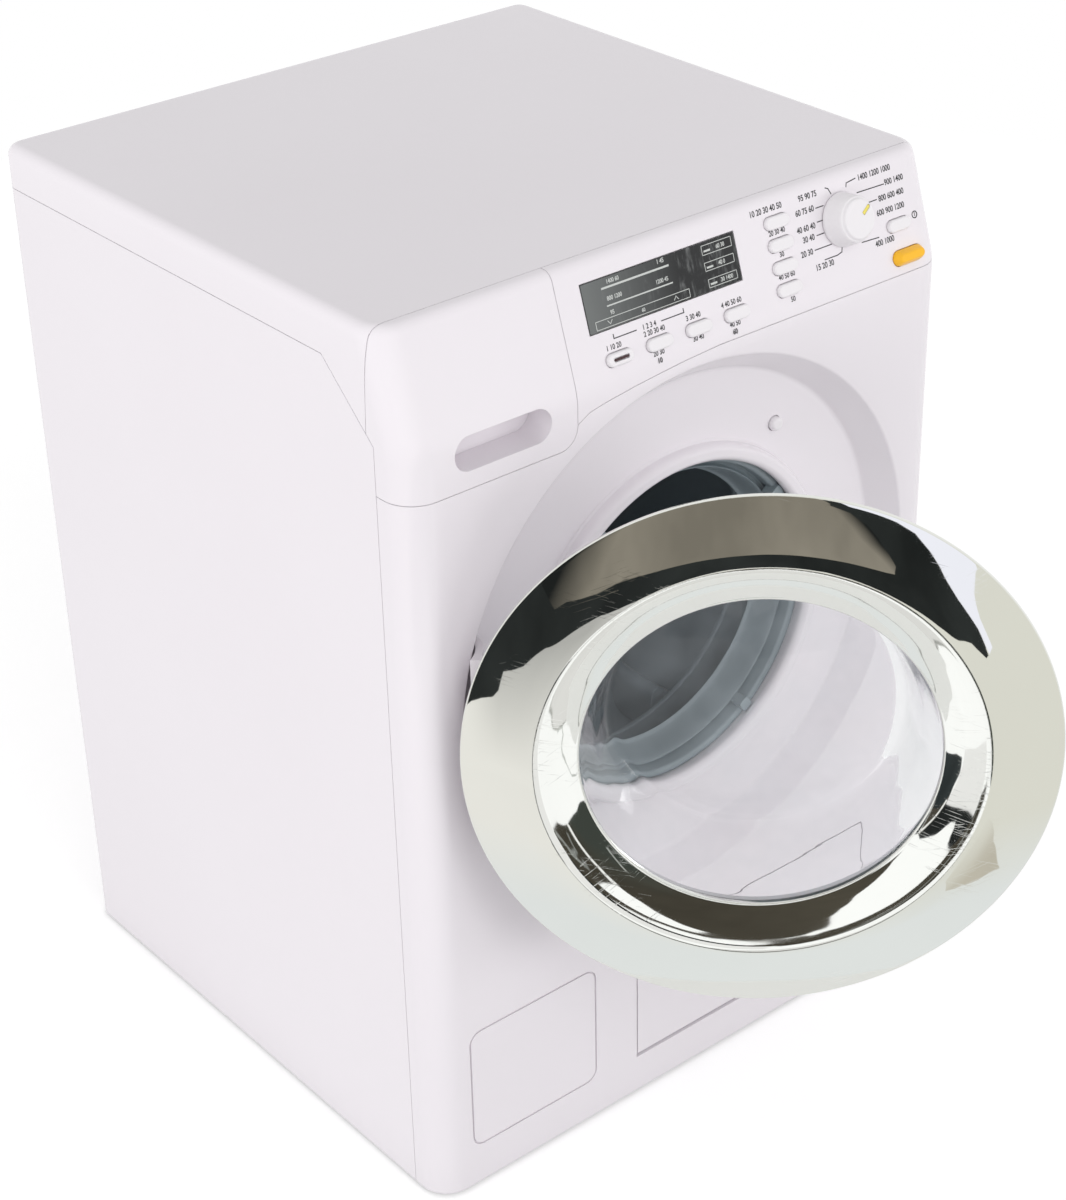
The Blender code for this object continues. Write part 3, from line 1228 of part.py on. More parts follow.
def door_gasket():
    """Grey funnel between the throat and the tub, with small lugs on its front edge."""
    seat = FLOOR_BACK_Y + FIT_GAP
    lip = seat - GASKET_LIP_PROUD
    waist = lip + GASKET_CONE_LENGTH
    sleeve_in = GASKET_SLEEVE_RADIUS - GASKET_WALL
    profile = [(GASKET_FLANGE_RADIUS, seat), (GASKET_LIP_RADIUS + GASKET_WALL, seat),
               (GASKET_LIP_RADIUS + GASKET_WALL / 2, lip), (GASKET_LIP_RADIUS, lip + GASKET_WALL / 3),
               (GASKET_WAIST_RADIUS, waist), (GASKET_WAIST_RADIUS + GASKET_WALL, waist + GASKET_WALL / 2),
               (GASKET_LIP_RADIUS + GASKET_WALL, seat + GASKET_WALL * 3 / 2), (sleeve_in, seat + GASKET_WALL * 2),
               (sleeve_in, TUB_FRONT_Y + TUB_WALL), (GASKET_SLEEVE_RADIUS, TUB_FRONT_Y + TUB_WALL),
               (GASKET_SLEEVE_RADIUS, seat + GASKET_WALL), (GASKET_FLANGE_RADIUS, seat + GASKET_WALL)]
    piece = make("door_gasket", lathe(profile, "Y", AXIS, DRUM_FACETS), grey_plastic())
    for k in range(GASKET_LUG_COUNT):
        angle = GASKET_LUG_ANGLE + 2 * math.pi * k / GASKET_LUG_COUNT
        middle = GASKET_LIP_RADIUS - GASKET_LUG_DEPTH / 4
        half_depth, half_width = GASKET_LUG_DEPTH / 2, GASKET_LUG_WIDTH / 2
        lug = block(middle - half_depth, middle + half_depth, -GASKET_LUG_LENGTH / 4, GASKET_LUG_LENGTH * 3 / 4,
                    -half_width, half_width)
        join(piece, lug, location=(RECESS_X, lip, RECESS_HEIGHT), rotation=(0, -angle, 0))
    return smooth(piece)


def tub_front():
    back = TUB_FRONT_Y + TUB_RIM_DEPTH
    mouth = GASKET_SLEEVE_RADIUS + FIT_GAP
    inner = TUB_RIM_RADIUS - TUB_WALL
    profile = [(mouth, TUB_FRONT_Y), (TUB_RIM_RADIUS, TUB_FRONT_Y), (TUB_RIM_RADIUS, back), (inner, back),
               (inner, TUB_FRONT_Y + TUB_WALL), (mouth, TUB_FRONT_Y + TUB_WALL)]
    piece = make("tub_front", lathe(profile, "Y", AXIS, DRUM_FACETS), dark_plastic())
    for place in ear_places():
        join(piece, rod(TUB_EAR_RADIUS, "Y", place, TUB_FRONT_Y, TUB_FRONT_Y + TUB_RIM_DEPTH / 2))
    return smooth(piece)


def tub():
    front = TUB_FRONT_Y + TUB_RIM_DEPTH + FIT_GAP
    flange = front + TUB_WALL
    inner = TUB_RADIUS - TUB_WALL
    bore = BEARING_RADIUS + FIT_GAP
    profile = [(inner, front), (TUB_RIM_RADIUS, front), (TUB_RIM_RADIUS, flange), (TUB_RADIUS, flange),
               (TUB_RADIUS, TUB_BACK_Y), (TUB_HUB_RADIUS, TUB_BACK_Y), (TUB_HUB_RADIUS, TUB_HUB_Y),
               (bore, TUB_HUB_Y), (bore, TUB_BACK_Y - TUB_WALL), (inner, TUB_BACK_Y - TUB_WALL)]
    return smooth(make("tub", lathe(profile, "Y", AXIS, DRUM_FACETS), dark_plastic()))


def drum_bearing():
    bore = SHAFT_RADIUS + RUN_GAP
    front = TUB_BACK_Y - TUB_WALL
    profile = [(bore, front), (BEARING_RADIUS, front), (BEARING_RADIUS, TUB_HUB_Y), (bore, TUB_HUB_Y)]
    return smooth(make("drum_bearing", lathe(profile, "Y", AXIS, ROD_FACETS), steel()))


def drum():
    outer = DRUM_INNER_RADIUS + DRUM_WALL
    inside = DRUM_BACK_Y - DRUM_WALL
    bore = SHAFT_RADIUS + FIT_GAP
    hub_end = DRUM_BACK_Y + DRUM_HUB_LENGTH
    profile = [(DRUM_LIP_RADIUS, DRUM_FRONT_Y), (DRUM_LIP_RADIUS, DRUM_FRONT_Y + DRUM_WALL),
               (DRUM_INNER_RADIUS - DRUM_WALL, DRUM_FRONT_Y + DRUM_WALL),
               (DRUM_INNER_RADIUS, DRUM_FRONT_Y + DRUM_WALL * 2), (DRUM_INNER_RADIUS, inside - DRUM_WALL),
               (DRUM_INNER_RADIUS - DRUM_WALL, inside), (DRUM_DOME_RADIUS, inside),
               (DRUM_DOME_RADIUS * 3 / 4, inside - DRUM_DOME_RISE * 3 / 4), (0, inside - DRUM_DOME_RISE),
               (0, inside), (bore, inside), (bore, hub_end), (DRUM_HUB_RADIUS, hub_end),
               (DRUM_HUB_RADIUS, DRUM_BACK_Y), (outer - DRUM_WALL, DRUM_BACK_Y), (outer, DRUM_BACK_Y - DRUM_WALL),
               (outer, DRUM_FRONT_Y + DRUM_WALL), (outer - DRUM_WALL, DRUM_FRONT_Y)]
    return smooth(make("drum", lathe(profile, "Y", AXIS, DRUM_FACETS), grey_plastic()))


def drum_lifters():
    """Ridges along the drum's wall that lift the washing."""
    radius = DRUM_INNER_RADIUS - 2 * FIT_GAP
    spread = math.asin(LIFTER_HALF_BASE / radius)
    base = arc(0, 0, radius, spread, -spread, PILL_STEPS)
    foot = radius * math.cos(spread)
    ridge = foot - LIFTER_HEIGHT
    low = [(foot - LIFTER_HEIGHT * up, -LIFTER_HALF_BASE * wide) for wide, up in LIFTER_SIDE_SHARES[1:]]
    high = [(r, -t) for r, t in reversed(low)]
    outline = base + low + [(ridge, 0)] + high
    front = DRUM_FRONT_Y + DRUM_WALL * 2 + LIFTER_END_MARGIN
    back = DRUM_BACK_Y - DRUM_WALL * 2 - LIFTER_END_MARGIN
    for k in range(LIFTER_COUNT):
        turn = LIFTER_ANGLE + 2 * math.pi * k / LIFTER_COUNT
        smooth(make("drum_lifter_%d" % (k + 1), prism(outline, "Y", front, back), grey_plastic(),
                    location=(RECESS_X, 0, RECESS_HEIGHT), rotation=(0, -turn, 0)))


def drum_shaft():
    front = DRUM_BACK_Y - DRUM_WALL + FIT_GAP
    back = BRACKET_Y + BRACKET_THICKNESS
    return smooth(make("drum_shaft", rod(SHAFT_RADIUS, "Y", AXIS, front, back), steel()))


def gear_outline(teeth, turn):
    """Involute teeth, with one tooth's centre at the given angle."""
    pitch = GEAR_MODULE * teeth / 2
    base = pitch * math.cos(PRESSURE_ANGLE)
    tip = pitch + GEAR_MODULE * GEAR_ADDENDUM_SHARE
    root = pitch - GEAR_MODULE * GEAR_DEDENDUM_SHARE
    half_pitch = math.pi / (2 * teeth) - GEAR_BACKLASH / (2 * pitch)
    lean = math.tan(PRESSURE_ANGLE) - PRESSURE_ANGLE

    def half_width(radius):
        if radius <= base:
            return half_pitch + lean
        angle = math.acos(base / radius)
        return half_pitch + lean - (math.tan(angle) - angle)

    radii = (root, pitch, tip)
    points = []
    for k in range(teeth):
        middle = turn + 2 * math.pi * k / teeth
        rising = [(r, middle - half_width(r)) for r in radii]
        falling = [(r, middle + half_width(r)) for r in reversed(radii)]
        points += [(r * math.cos(a), r * math.sin(a)) for r, a in rising + falling]
    return points


def drum_gear():
    data = prism(gear_outline(GEAR_TEETH, -math.pi / 2), "Y", GEAR_Y, GEAR_Y + GEAR_WIDTH)
    piece = make("drum_gear", data, gear_white(), location=(RECESS_X, 0, RECESS_HEIGHT))
    cut(piece, rod(SHAFT_RADIUS + FIT_GAP, "Y", AXIS, GEAR_Y - OVERRUN, GEAR_Y + GEAR_WIDTH + OVERRUN))
    return smooth(piece)


def motor_pinion():
    """Pinion and motor shaft; a gap between two teeth faces the drum's gear."""
    turn = math.pi / 2 + math.pi / PINION_TEETH
    data = prism(gear_outline(PINION_TEETH, turn), "Y", GEAR_Y, GEAR_Y + GEAR_WIDTH)
    piece = make("motor_pinion", data, gear_white(), location=(RECESS_X, 0, MOTOR_HEIGHT))
    end = BRACKET_Y + BRACKET_THICKNESS + MOTOR_BORE_DEPTH - FIT_GAP
    join(piece, rod(MOTOR_SHAFT_RADIUS, "Y", (RECESS_X, MOTOR_HEIGHT), GEAR_Y + GEAR_WIDTH / 2, end))
    return smooth(piece)


def motor_bracket():
    outline = rounded_box(RECESS_X - BRACKET_HALF_WIDTH, RECESS_X + BRACKET_HALF_WIDTH,
                          RECESS_HEIGHT - BRACKET_BOTTOM, RECESS_HEIGHT + BRACKET_TOP, BRACKET_CORNER, EDGE_STEPS)
    piece = make("motor_bracket", prism(outline, "Y", BRACKET_Y, BRACKET_Y + BRACKET_THICKNESS), dark_plastic())
    for side in (-1, 1):
        for height in (RECESS_HEIGHT + POST_TOP, RECESS_HEIGHT - POST_BOTTOM):
            join(piece, rod(POST_RADIUS, "Y", (RECESS_X + side * POST_X, height), TUB_BACK_Y + FIT_GAP,
                            BRACKET_Y + BRACKET_THICKNESS / 2))
    back = BRACKET_Y + BRACKET_THICKNESS + OVERRUN
    cut(piece, rod(SHAFT_RADIUS + RUN_GAP, "Y", AXIS, BRACKET_Y - OVERRUN, back))
    cut(piece, rod(MOTOR_NOSE_RADIUS + FIT_GAP, "Y", (RECESS_X, MOTOR_HEIGHT), BRACKET_Y - OVERRUN, back))
    return smooth(piece)


def motor():
    front = BRACKET_Y + BRACKET_THICKNESS + FIT_GAP
    back = front + MOTOR_LENGTH
    bore = MOTOR_SHAFT_RADIUS + RUN_GAP
    profile = [(bore, front - MOTOR_NOSE_LENGTH), (MOTOR_NOSE_RADIUS, front - MOTOR_NOSE_LENGTH),
               (MOTOR_NOSE_RADIUS, front), (MOTOR_RADIUS, front), (MOTOR_RADIUS, back),
               (0, back), (0, front + MOTOR_BORE_DEPTH), (bore, front + MOTOR_BORE_DEPTH)]
    return smooth(make("motor", lathe(profile, "Y", (RECESS_X, MOTOR_HEIGHT), KNOB_FACETS), steel()))


# Detergent drawer

def drawer_front(shell):
    piece = fascia_strip("drawer_front", shell)
    line = [(-HALF - OVERRUN, DRAWER_SEAM_HEIGHT)] + drawer_corner() + [(DRAWER_SEAM_X, BODY_HEIGHT + OVERRUN)]
    beyond = [(HALF + OVERRUN, BODY_HEIGHT + OVERRUN), (HALF + OVERRUN, -OVERRUN), (-HALF - OVERRUN, -OVERRUN)]
    cut_beyond(piece, line, SEAM_GAP / 2, beyond, "Y")
    radius = (HANDLE_TOP - HANDLE_BOTTOM) / 2
    outer = rounded_box(HANDLE_LEFT - HANDLE_WALL, HANDLE_RIGHT + HANDLE_WALL, HANDLE_BOTTOM - HANDLE_WALL,
                        HANDLE_TOP + HANDLE_WALL, radius + HANDLE_WALL)
    join(piece, prism(outer, "Y", FRONT + WALL / 2, FRONT + HANDLE_DEPTH + HANDLE_WALL))
    inner = rounded_box(HANDLE_LEFT, HANDLE_RIGHT, HANDLE_BOTTOM, HANDLE_TOP, radius)
    cut(piece, prism(inner, "Y", FRONT - OVERRUN, FRONT + HANDLE_DEPTH))
    return smooth(piece)


def tray_front():
    return FRONT + HANDLE_DEPTH + HANDLE_WALL + FIT_GAP


def drawer_tray():
    front = tray_front()
    back = front + TRAY_LENGTH
    top = TRAY_BOTTOM + TRAY_HEIGHT
    piece = make("drawer_tray", block(TRAY_LEFT, TRAY_RIGHT, front, back, TRAY_BOTTOM, top), white_plastic())
    split = TRAY_LEFT + (TRAY_RIGHT - TRAY_LEFT) * TRAY_DIVIDER_SHARE
    for low, high in ((TRAY_LEFT + TRAY_WALL, split - TRAY_WALL / 2), (split + TRAY_WALL / 2, TRAY_RIGHT - TRAY_WALL)):
        cut(piece, block(low, high, front + TRAY_WALL, back - TRAY_WALL, TRAY_BOTTOM + TRAY_WALL, top + OVERRUN))
    return piece


def drawer_housing():
    """Channel that the tray runs in, hung from the underside of the top cover."""
    left = TRAY_LEFT - HOUSING_GAP - HOUSING_WALL
    right = TRAY_RIGHT + HOUSING_GAP + HOUSING_WALL
    front = FRONT + SKIRT_SEAM_SETBACK - FRONT_STRIP
    back = tray_front() + TRAY_LENGTH + FIT_GAP + HOUSING_WALL
    floor = TRAY_BOTTOM - HOUSING_GAP
    top = BODY_HEIGHT - WALL - FIT_GAP
    piece = make("drawer_housing", block(left, right, front, back, floor - HOUSING_WALL, top), white_plastic())
    return cut(piece, block(left + HOUSING_WALL, right - HOUSING_WALL, front - OVERRUN, back - HOUSING_WALL, floor,
                            top + OVERRUN))


# Service flap

def service_flap():
    """Flap hinged along its rounded lower edge on two short pins."""
    y, z = flap_axis()
    back = FRONT + FLAP_THICKNESS
    meet = math.acos((back - y) / FLAP_ROD_RADIUS)
    outline = arc(y, z, FLAP_ROD_RADIUS, math.pi, 2 * math.pi + meet, ROD_FACETS)
    outline += [(back, FLAP_TOP), (FRONT, FLAP_TOP)]
    piece = make("service_flap", prism(outline, "X", FLAP_LEFT, FLAP_RIGHT), white_plastic())
    cut(piece, block(FLAP_RIGHT - FLAP_NOTCH_WIDTH, FLAP_RIGHT + OVERRUN, FRONT - OVERRUN, back + OVERRUN,
                     FLAP_TOP - FLAP_NOTCH_HEIGHT, FLAP_TOP + OVERRUN))
    reach = FLAP_GAP + FLAP_PIN_LENGTH
    join(piece, rod(FLAP_PIN_RADIUS, "X", (y, z), FLAP_LEFT - reach, FLAP_RIGHT + reach))
    return smooth(piece)


# Base

def base_plate():
    inset = WALL + FIT_GAP
    corner = FRONT_CORNER_RADIUS - inset
    outline = rounded_box(-HALF + inset, HALF - inset, FRONT + inset, BACK - inset, corner, REAR_STEPS)
    piece = make("base_plate", prism(outline, "Z", 0, BASE_RIM), white_plastic())
    inner = inset + BASE_RIM_WALL
    hollow = rounded_box(-HALF + inner, HALF - inner, FRONT + inner, BACK - inner, corner - BASE_RIM_WALL, REAR_STEPS)
    cut(piece, prism(hollow, "Z", BASE_THICKNESS, BASE_RIM + OVERRUN))
    side = BATTERY_LEDGE + BATTERY_WALL
    join(piece, block(BATTERY_LEFT - side, BATTERY_RIGHT + side, BATTERY_FRONT - side, BATTERY_BACK + side,
                      BASE_THICKNESS / 2, BATTERY_HEIGHT + BATTERY_WALL))
    cut(piece, block(BATTERY_LEFT, BATTERY_RIGHT, BATTERY_FRONT, BATTERY_BACK, -OVERRUN, BATTERY_HEIGHT))
    ledge = BATTERY_LEDGE
    cut(piece, block(BATTERY_LEFT - ledge, BATTERY_RIGHT + ledge, BATTERY_FRONT - ledge, BATTERY_BACK + ledge,
                     -OVERRUN, BATTERY_COVER + FIT_GAP))
    ring = SPEAKER_RADIUS + FIT_GAP
    profile = [(ring, BASE_THICKNESS / 2), (ring + SPEAKER_RING, BASE_THICKNESS / 2),
               (ring + SPEAKER_RING, BASE_THICKNESS + SPEAKER_BASKET), (ring, BASE_THICKNESS + SPEAKER_BASKET)]
    join(piece, lathe(profile, "Z", (SPEAKER_X, SPEAKER_Y), KNOB_FACETS))
    for k in range(SPEAKER_SLOTS):
        middle = SPEAKER_X + SPEAKER_SLOT_PITCH * (k - (SPEAKER_SLOTS - 1) / 2)
        cut(piece, block(middle - SPEAKER_SLOT_WIDTH / 2, middle + SPEAKER_SLOT_WIDTH / 2,
                         SPEAKER_Y - SPEAKER_SLOT_LENGTH / 2, SPEAKER_Y + SPEAKER_SLOT_LENGTH / 2,
                         -OVERRUN, BASE_THICKNESS + OVERRUN))
    return smooth(piece)


def battery_cover():
    side = BATTERY_LEDGE - FIT_GAP
    outline = rounded_box(BATTERY_LEFT - side, BATTERY_RIGHT + side, BATTERY_FRONT - side, BATTERY_BACK + side,
                          BATTERY_WALL / 2, REAR_STEPS)
    return smooth(make("battery_cover", prism(outline, "Z", 0, BATTERY_COVER), white_plastic()))


def speaker():
    low = BASE_THICKNESS + FIT_GAP
    profile = [(0, low), (SPEAKER_RADIUS, low), (SPEAKER_RADIUS, low + SPEAKER_BASKET),
               (SPEAKER_MAGNET_RADIUS, low + SPEAKER_BASKET), (SPEAKER_MAGNET_RADIUS, low + SPEAKER_HEIGHT),
               (0, low + SPEAKER_HEIGHT)]
    return smooth(make("speaker", lathe(profile, "Z", (SPEAKER_X, SPEAKER_Y), KNOB_FACETS), dark_plastic()))


def build():
    clear_scene()
    shell = body_shell()
    plate_y, plate_z = slope_point(0, 0)
    plate = empty("fascia_plane", (0, plate_y, plate_z), (PLATE_TILT, 0, 0))
    hinge = empty("door_hinge", (HINGE_X, HINGE_Y, RECESS_HEIGHT), (0, 0, -DOOR_OPEN_ANGLE))
    base_plate()
    battery_cover()
    speaker()
    side_shell(shell)
    top_cover(shell)
    front_panel(shell)
    control_panel(shell, plate)
    drawer_front(shell)
    bpy.data.objects.remove(shell, do_unlink=True)
    drawer_tray()
    drawer_housing()
    service_flap()
    hinge_pin()
    door_ring(hinge)
    door_frame(hinge)
    door_bowl(hinge)
    latch_hook(hinge)
    latch_slider()
    switch_pin()
    door_switch()
    display_window(plate)
    circuit_board(plate)
    start_button(plate)
    for name, x, s in button_places():
        push_button(name, plate, x, s)
    door_button(plate)
    program_knob(plate)
    door_gasket()
    tub_front()
    tub()
    drum_bearing()
    drum()
    drum_lifters()
    drum_shaft()
    drum_gear()
    motor_pinion()
    motor_bracket()
    motor()


build()
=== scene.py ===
# Looks of the toy washing machine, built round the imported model.
# Metres, +Z up, -Y is the front. Fine pieces stand in for the plain solids and ride on their bodies.
from math import acos, asin, atan, cos, hypot, pi, radians, sin, tan

import bmesh
import bpy
from mathutils import Matrix, Vector


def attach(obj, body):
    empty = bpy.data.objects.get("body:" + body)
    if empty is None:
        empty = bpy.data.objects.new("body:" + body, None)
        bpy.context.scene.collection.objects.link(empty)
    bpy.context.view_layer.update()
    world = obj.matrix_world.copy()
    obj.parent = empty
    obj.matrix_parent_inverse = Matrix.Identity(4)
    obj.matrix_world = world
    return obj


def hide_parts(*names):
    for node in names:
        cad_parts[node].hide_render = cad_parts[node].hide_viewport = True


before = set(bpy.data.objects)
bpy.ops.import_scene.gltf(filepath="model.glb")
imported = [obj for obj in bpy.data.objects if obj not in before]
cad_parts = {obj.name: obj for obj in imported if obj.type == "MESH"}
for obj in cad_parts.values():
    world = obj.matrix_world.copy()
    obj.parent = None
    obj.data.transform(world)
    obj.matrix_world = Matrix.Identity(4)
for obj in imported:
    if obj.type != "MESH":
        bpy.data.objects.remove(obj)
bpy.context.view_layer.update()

# Body. OVER is how far a cutter reaches past what it cuts.
HALF, FRONT, BACK, HEIGHT = 0.0922, -0.09035, 0.09035, 0.26
WALL = 0.0022
NEAR_CORNER, FAR_CORNER, TOP_EDGE = 0.009, 0.005, 0.0035
LEAN = radians(18.05)
BREAK_HEIGHT, BLEND_RADIUS = 0.2302, 0.022
SEAM_GAP, GAP, RUN_GAP, OVER = 0.00014, 0.0003, 0.0002, 0.004
SIDE, FORE, REAR, HIGH, LOW = HALF + OVER, FRONT - OVER, BACK + OVER, HEIGHT + OVER, -OVER
VENTS, VENT_LOW, VENT_PITCH, VENT_TALL, VENT_HALF = 6, 0.056, 0.007, 0.0024, 0.023

# Seams
SIDE_SEAM_Y, TURN_HEIGHT = -0.07835, 0.23
SKIRT_Y, SKIRT_HEIGHT = -0.059, 0.2477
LOW_SEAM_Y, LOW_SEAM_HEIGHT, TOP_SEAM_Y = -0.0756, 0.2325, -0.0773
DRAWER_X, DRAWER_HEIGHT, DRAWER_CORNER = -0.0391, 0.2169, 0.0057
PANEL_HEIGHT, PANEL_FLAT_X = 0.2294, 0.0084
DROOP_SHARES = ((0.08, 0.31), (0.18, 0.45), (0.29, 0.56), (0.42, 0.68), (0.57, 0.79), (0.77, 0.91), (1.0, 1.0))

# Recess
CENTRE = (0.0009, 0.1468)
RIM_RADIUS, FLOOR_RADIUS, RECESS_DEPTH = 0.0789, 0.0735, 0.00805
RIM_ROUND, FLOOR_ROUND = 0.0011, 0.0016
COLLAR_OUT, COLLAR_IN, THROAT, COLLAR_RISE, COLLAR_ROUND = 0.0524, 0.0475, 0.0486, 0.0038, 0.0012
FLOOR_Y = FRONT + RECESS_DEPTH
FLOOR_BACK = FLOOR_Y + WALL
THROUGH = FLOOR_BACK + OVER
THROAT_STEP = 0.0004
POSTS, POST_CIRCLE, POST_RADIUS = (45, 135, 225, 315), 0.0725, 0.0036

# Door
HINGE = (-0.0821, -0.0815, 0.1468)
OPEN_ANGLE = radians(40.8)
ARM_LENGTH, RIM_PLANE = 0.083, 0.0138
RING_RADIUS, CREST, GLASS_RADIUS = 0.0748, 0.057, 0.0452
CREST_RISE, GLASS_DROP, RING_WALL, LIP_DROP = 0.003, 0.002, 0.0016, 0.0011
CREST_BACK, EDGE_BACK = (CREST, CREST_RISE - RING_WALL), (RING_RADIUS - 0.0008, -RING_WALL)
BEHIND_GLASS, RING_SOFT, RING_STEPS, ROLL_DROP = -GLASS_DROP - RING_WALL * 3 / 4, 0.0003, 10, 0.3
CROWN_TILTS = ((0.057, 0.0), (0.059, 5.0), (0.063, 10.0), (0.068, 11.5), (0.0744, 12.5))
CONE_TILTS = ((0.057, 0.0), (0.0561, 14.0), (0.0548, 19.0), (0.052, 23.0), (0.049, 26.0), (0.0458, 29.0))
FRAME_RADIUS, FRAME_WALL, FRAME_WEB, WEB_DROP = 0.0676, 0.0014, 0.0016, 0.004
FRAME_INNER, SEAT_RADIUS, LEDGE, LEDGE_RADIUS = 0.0469, 0.052, 0.002, 0.054
FRAME_BACK, FRAME_SOFT = -0.0118, 0.0003
BOWL_WALL, BOWL_FLANGE, BOWL_MOUTH, BOWL_DEPTH = 0.0012, 0.0012, 0.0451, 0.0248
BOWL_SHARES = ((1.0, 0.04), (0.978, 0.13), (0.926, 0.4), (0.898, 0.62), (0.871, 0.8), (0.853, 0.895), (0.831, 0.95),
               (0.797, 0.975), (0.7, 0.985), (0.428, 0.995), (0.194, 0.998), (0.0, 1.0))
PIN_RADIUS, BARREL_RADIUS, ARM_HALF = 0.0012, 0.0036, 0.0247
ARM_CURVE, ARM_WALL, ARM_TAIL = 0.0123, 0.002, 0.02
WEB_ANGLE, END_ANGLE = radians(58), radians(-20)
HOOK_RADIUS, SWITCH_RADIUS, SWITCH_ANGLE = 0.062, 0.06, radians(53.7)
PAD_RADIUS, PAD_END = 0.003, 0.0029

# What the front panel leaves for the hinge, the latch hook and the switch pin
SLOT_MARGIN, SLOT_EDGE, ARM_ROOM = 0.001, 0.009, 0.0007
HINGE_HALF, HINGE_BACK, LUG_SPAN = 0.0045, 0.004, (0.0008, 0.0038)
HOOK_HALF, HOOK_TALL, HOOK_ROUND = 0.0027, 0.0054, 0.0006
PIN_HOLE, PIN_STEM, PIN_SOFT, PIN_DOME, PIN_PROUD = 0.0022, 0.002, 0.0006, 0.002, 0.0018
PIN_COLLAR, PIN_COLLAR_BEHIND, PIN_COLLAR_WALL = 0.0032, 0.0029, 0.001

# Throat seal and drum
SEAL_WALL, SEAL_LIP, SEAL_PROUD, SEAL_WAIST = 0.0016, 0.0466, 0.0022, 0.0405
SEAL_CONE, SEAL_SLEEVE, SEAL_FLANGE, SEAL_REACH = 0.0112, 0.052, 0.0545, 0.002
SEAL_SOFT, SEAL_ROLL = 0.0012, ((0.0008, 0.0014), (0.0009, 0.0046))
SEAL_STEPS, SEAL_BACK = ((0.0016, 0.0049), (0.0025, 0.0046), (0.0026, 0.003), (0.0032, 0.0026)), (0.0012, 0.0064)
LUGS, LUG_ANGLE, LUG_WIDTH, LUG_DEPTH, LUG_LENGTH, LUG_ROUND = 4, radians(-54), 0.0034, 0.004, 0.0036, 0.0007
TUB_FRONT = -0.068
DRUM_RADIUS, DRUM_WALL, DRUM_LIP, DRUM_FRONT, DRUM_BACK = 0.058, 0.0016, 0.0455, -0.06, 0.02
DRUM_HUB, DRUM_HUB_END, DRUM_BORE, DOME_RADIUS, DOME_RISE = 0.009, 0.0262, 0.0033, 0.018, 0.004
DRUM_CORNER, DRUM_SOFT, GROOVE_RADII = 0.004, 0.001, (0.05, 0.041, 0.032)
GROOVE_SHAPE = ((0.0008, 0), (0, 0.0006), (-0.001, 0.0006), (-0.0018, 0))
LIFTERS, LIFTER_ANGLE, LIFTER_HEIGHT, LIFTER_BASE = 3, radians(-67), 0.0117, 0.0072
LIFTER_SHARES, LIFTER_ROOM, LIFTER_EDGE = ((0, 1), (0.42, 0.62), (0.8, 0.4), (1, 0.18)), 0.002, 0.0006

# Fascia controls, x along the machine and s down the slope
DISPLAY = (-0.0315, 0.0199, 0.0053, 0.0183)
DISPLAY_DEPTH, PANE_ROUND, SCREEN_LEVEL = 0.0011, 0.0003, 0.0001
BUTTON_LONG, BUTTON_TALL, BUTTON_PROUD, BUTTON_ROUND = 0.0084, 0.0034, 0.0012, 0.0006
BUTTON_ROOM, FLANGE, FLANGE_MARGIN = 0.00028, 0.001, 0.0016
LENS_SLOT, LENS_SLOT_DEPTH, LENS_PILL, LENS_DEPTH = (0.0052, 0.0011), 0.0005, (0.0047, 0.0006), 0.00025
ROW_S, ROW_X = 0.0258, (-0.0241, -0.0109, 0.0023, 0.0155)
COLUMN_X, COLUMN_S = 0.0345, (0.0069, 0.0128, 0.0187, 0.0246)
POWER_PLACE, DOOR_BUTTON_PLACE, KNOB_PLACE = (0.0766, 0.0187), (0.078, 0.0275), (0.0572, 0.0123)
DOOR_LONG, DOOR_TALL, DOOR_PROUD, DOOR_SHOULDER, DOOR_TAPER = 0.011, 0.0042, 0.0023, 0.0006, 0.0024
DOOR_FOOT, DOOR_EDGE, STEM_RADIUS, STEM_END = 0.0004, (0.0006, 0.0002), 0.0016, -0.009
KNOB_RADIUS, KNOB_FACE, KNOB_HEIGHT, KNOB_SHAFT, KNOB_ROUND = 0.0072, 0.0052, 0.0069, 0.0029, 0.0009
KNOB_END, INSERT_GAP, INSERT_UNDER, INSERT_SUNK = -0.004, 0.0001, 0.0002, 0.00005
POINTER_ANGLE, POINTER_OFFSET = radians(55), 0.0031
POINTER_LONG, POINTER_WIDE, POINTER_DEPTH = 0.0029, 0.0011, 0.0008

# Drawer handle, flap and cover outline
HANDLE = (-0.0773, -0.0473, 0.2217, 0.2308)
HANDLE_DEPTH, HANDLE_WALL = 0.009, 0.0012
FLAP = (-0.0198, 0.076, 0.0126, 0.0533)
NOTCH = (0.006, 0.016)
FLAP_GAP, FLAP_WALL, FLAP_ROD = 0.0004, 0.0018, 0.0014
FLAP_PIN, FLAP_PIN_REACH, FLAP_HOLE_REACH = 0.0008, 0.0016, 0.0019
POCKET_DEPTH, POCKET_MARGIN, POCKET_WALL = 0.014, 0.0016, 0.0016
COVER = (-0.0805, -0.0354, 0.013, 0.053)
COVER_CORNER, GROOVE, GROOVE_DEPTH = 0.004, 0.0005, 0.0006

# Steps
CORNER_STEPS, FAR_STEPS, EDGE_STEPS, PILL_STEPS = 12, 6, 8, 10
RECESS_FACETS, RING_FACETS, KNOB_FACETS, ROD_FACETS, BARREL_STEPS, ARM_STEPS = 160, 240, 72, 32, 40, 24
SMOOTH_ANGLE, BEVEL_ANGLE, BEVEL_SEGMENTS = radians(28), radians(40), 2

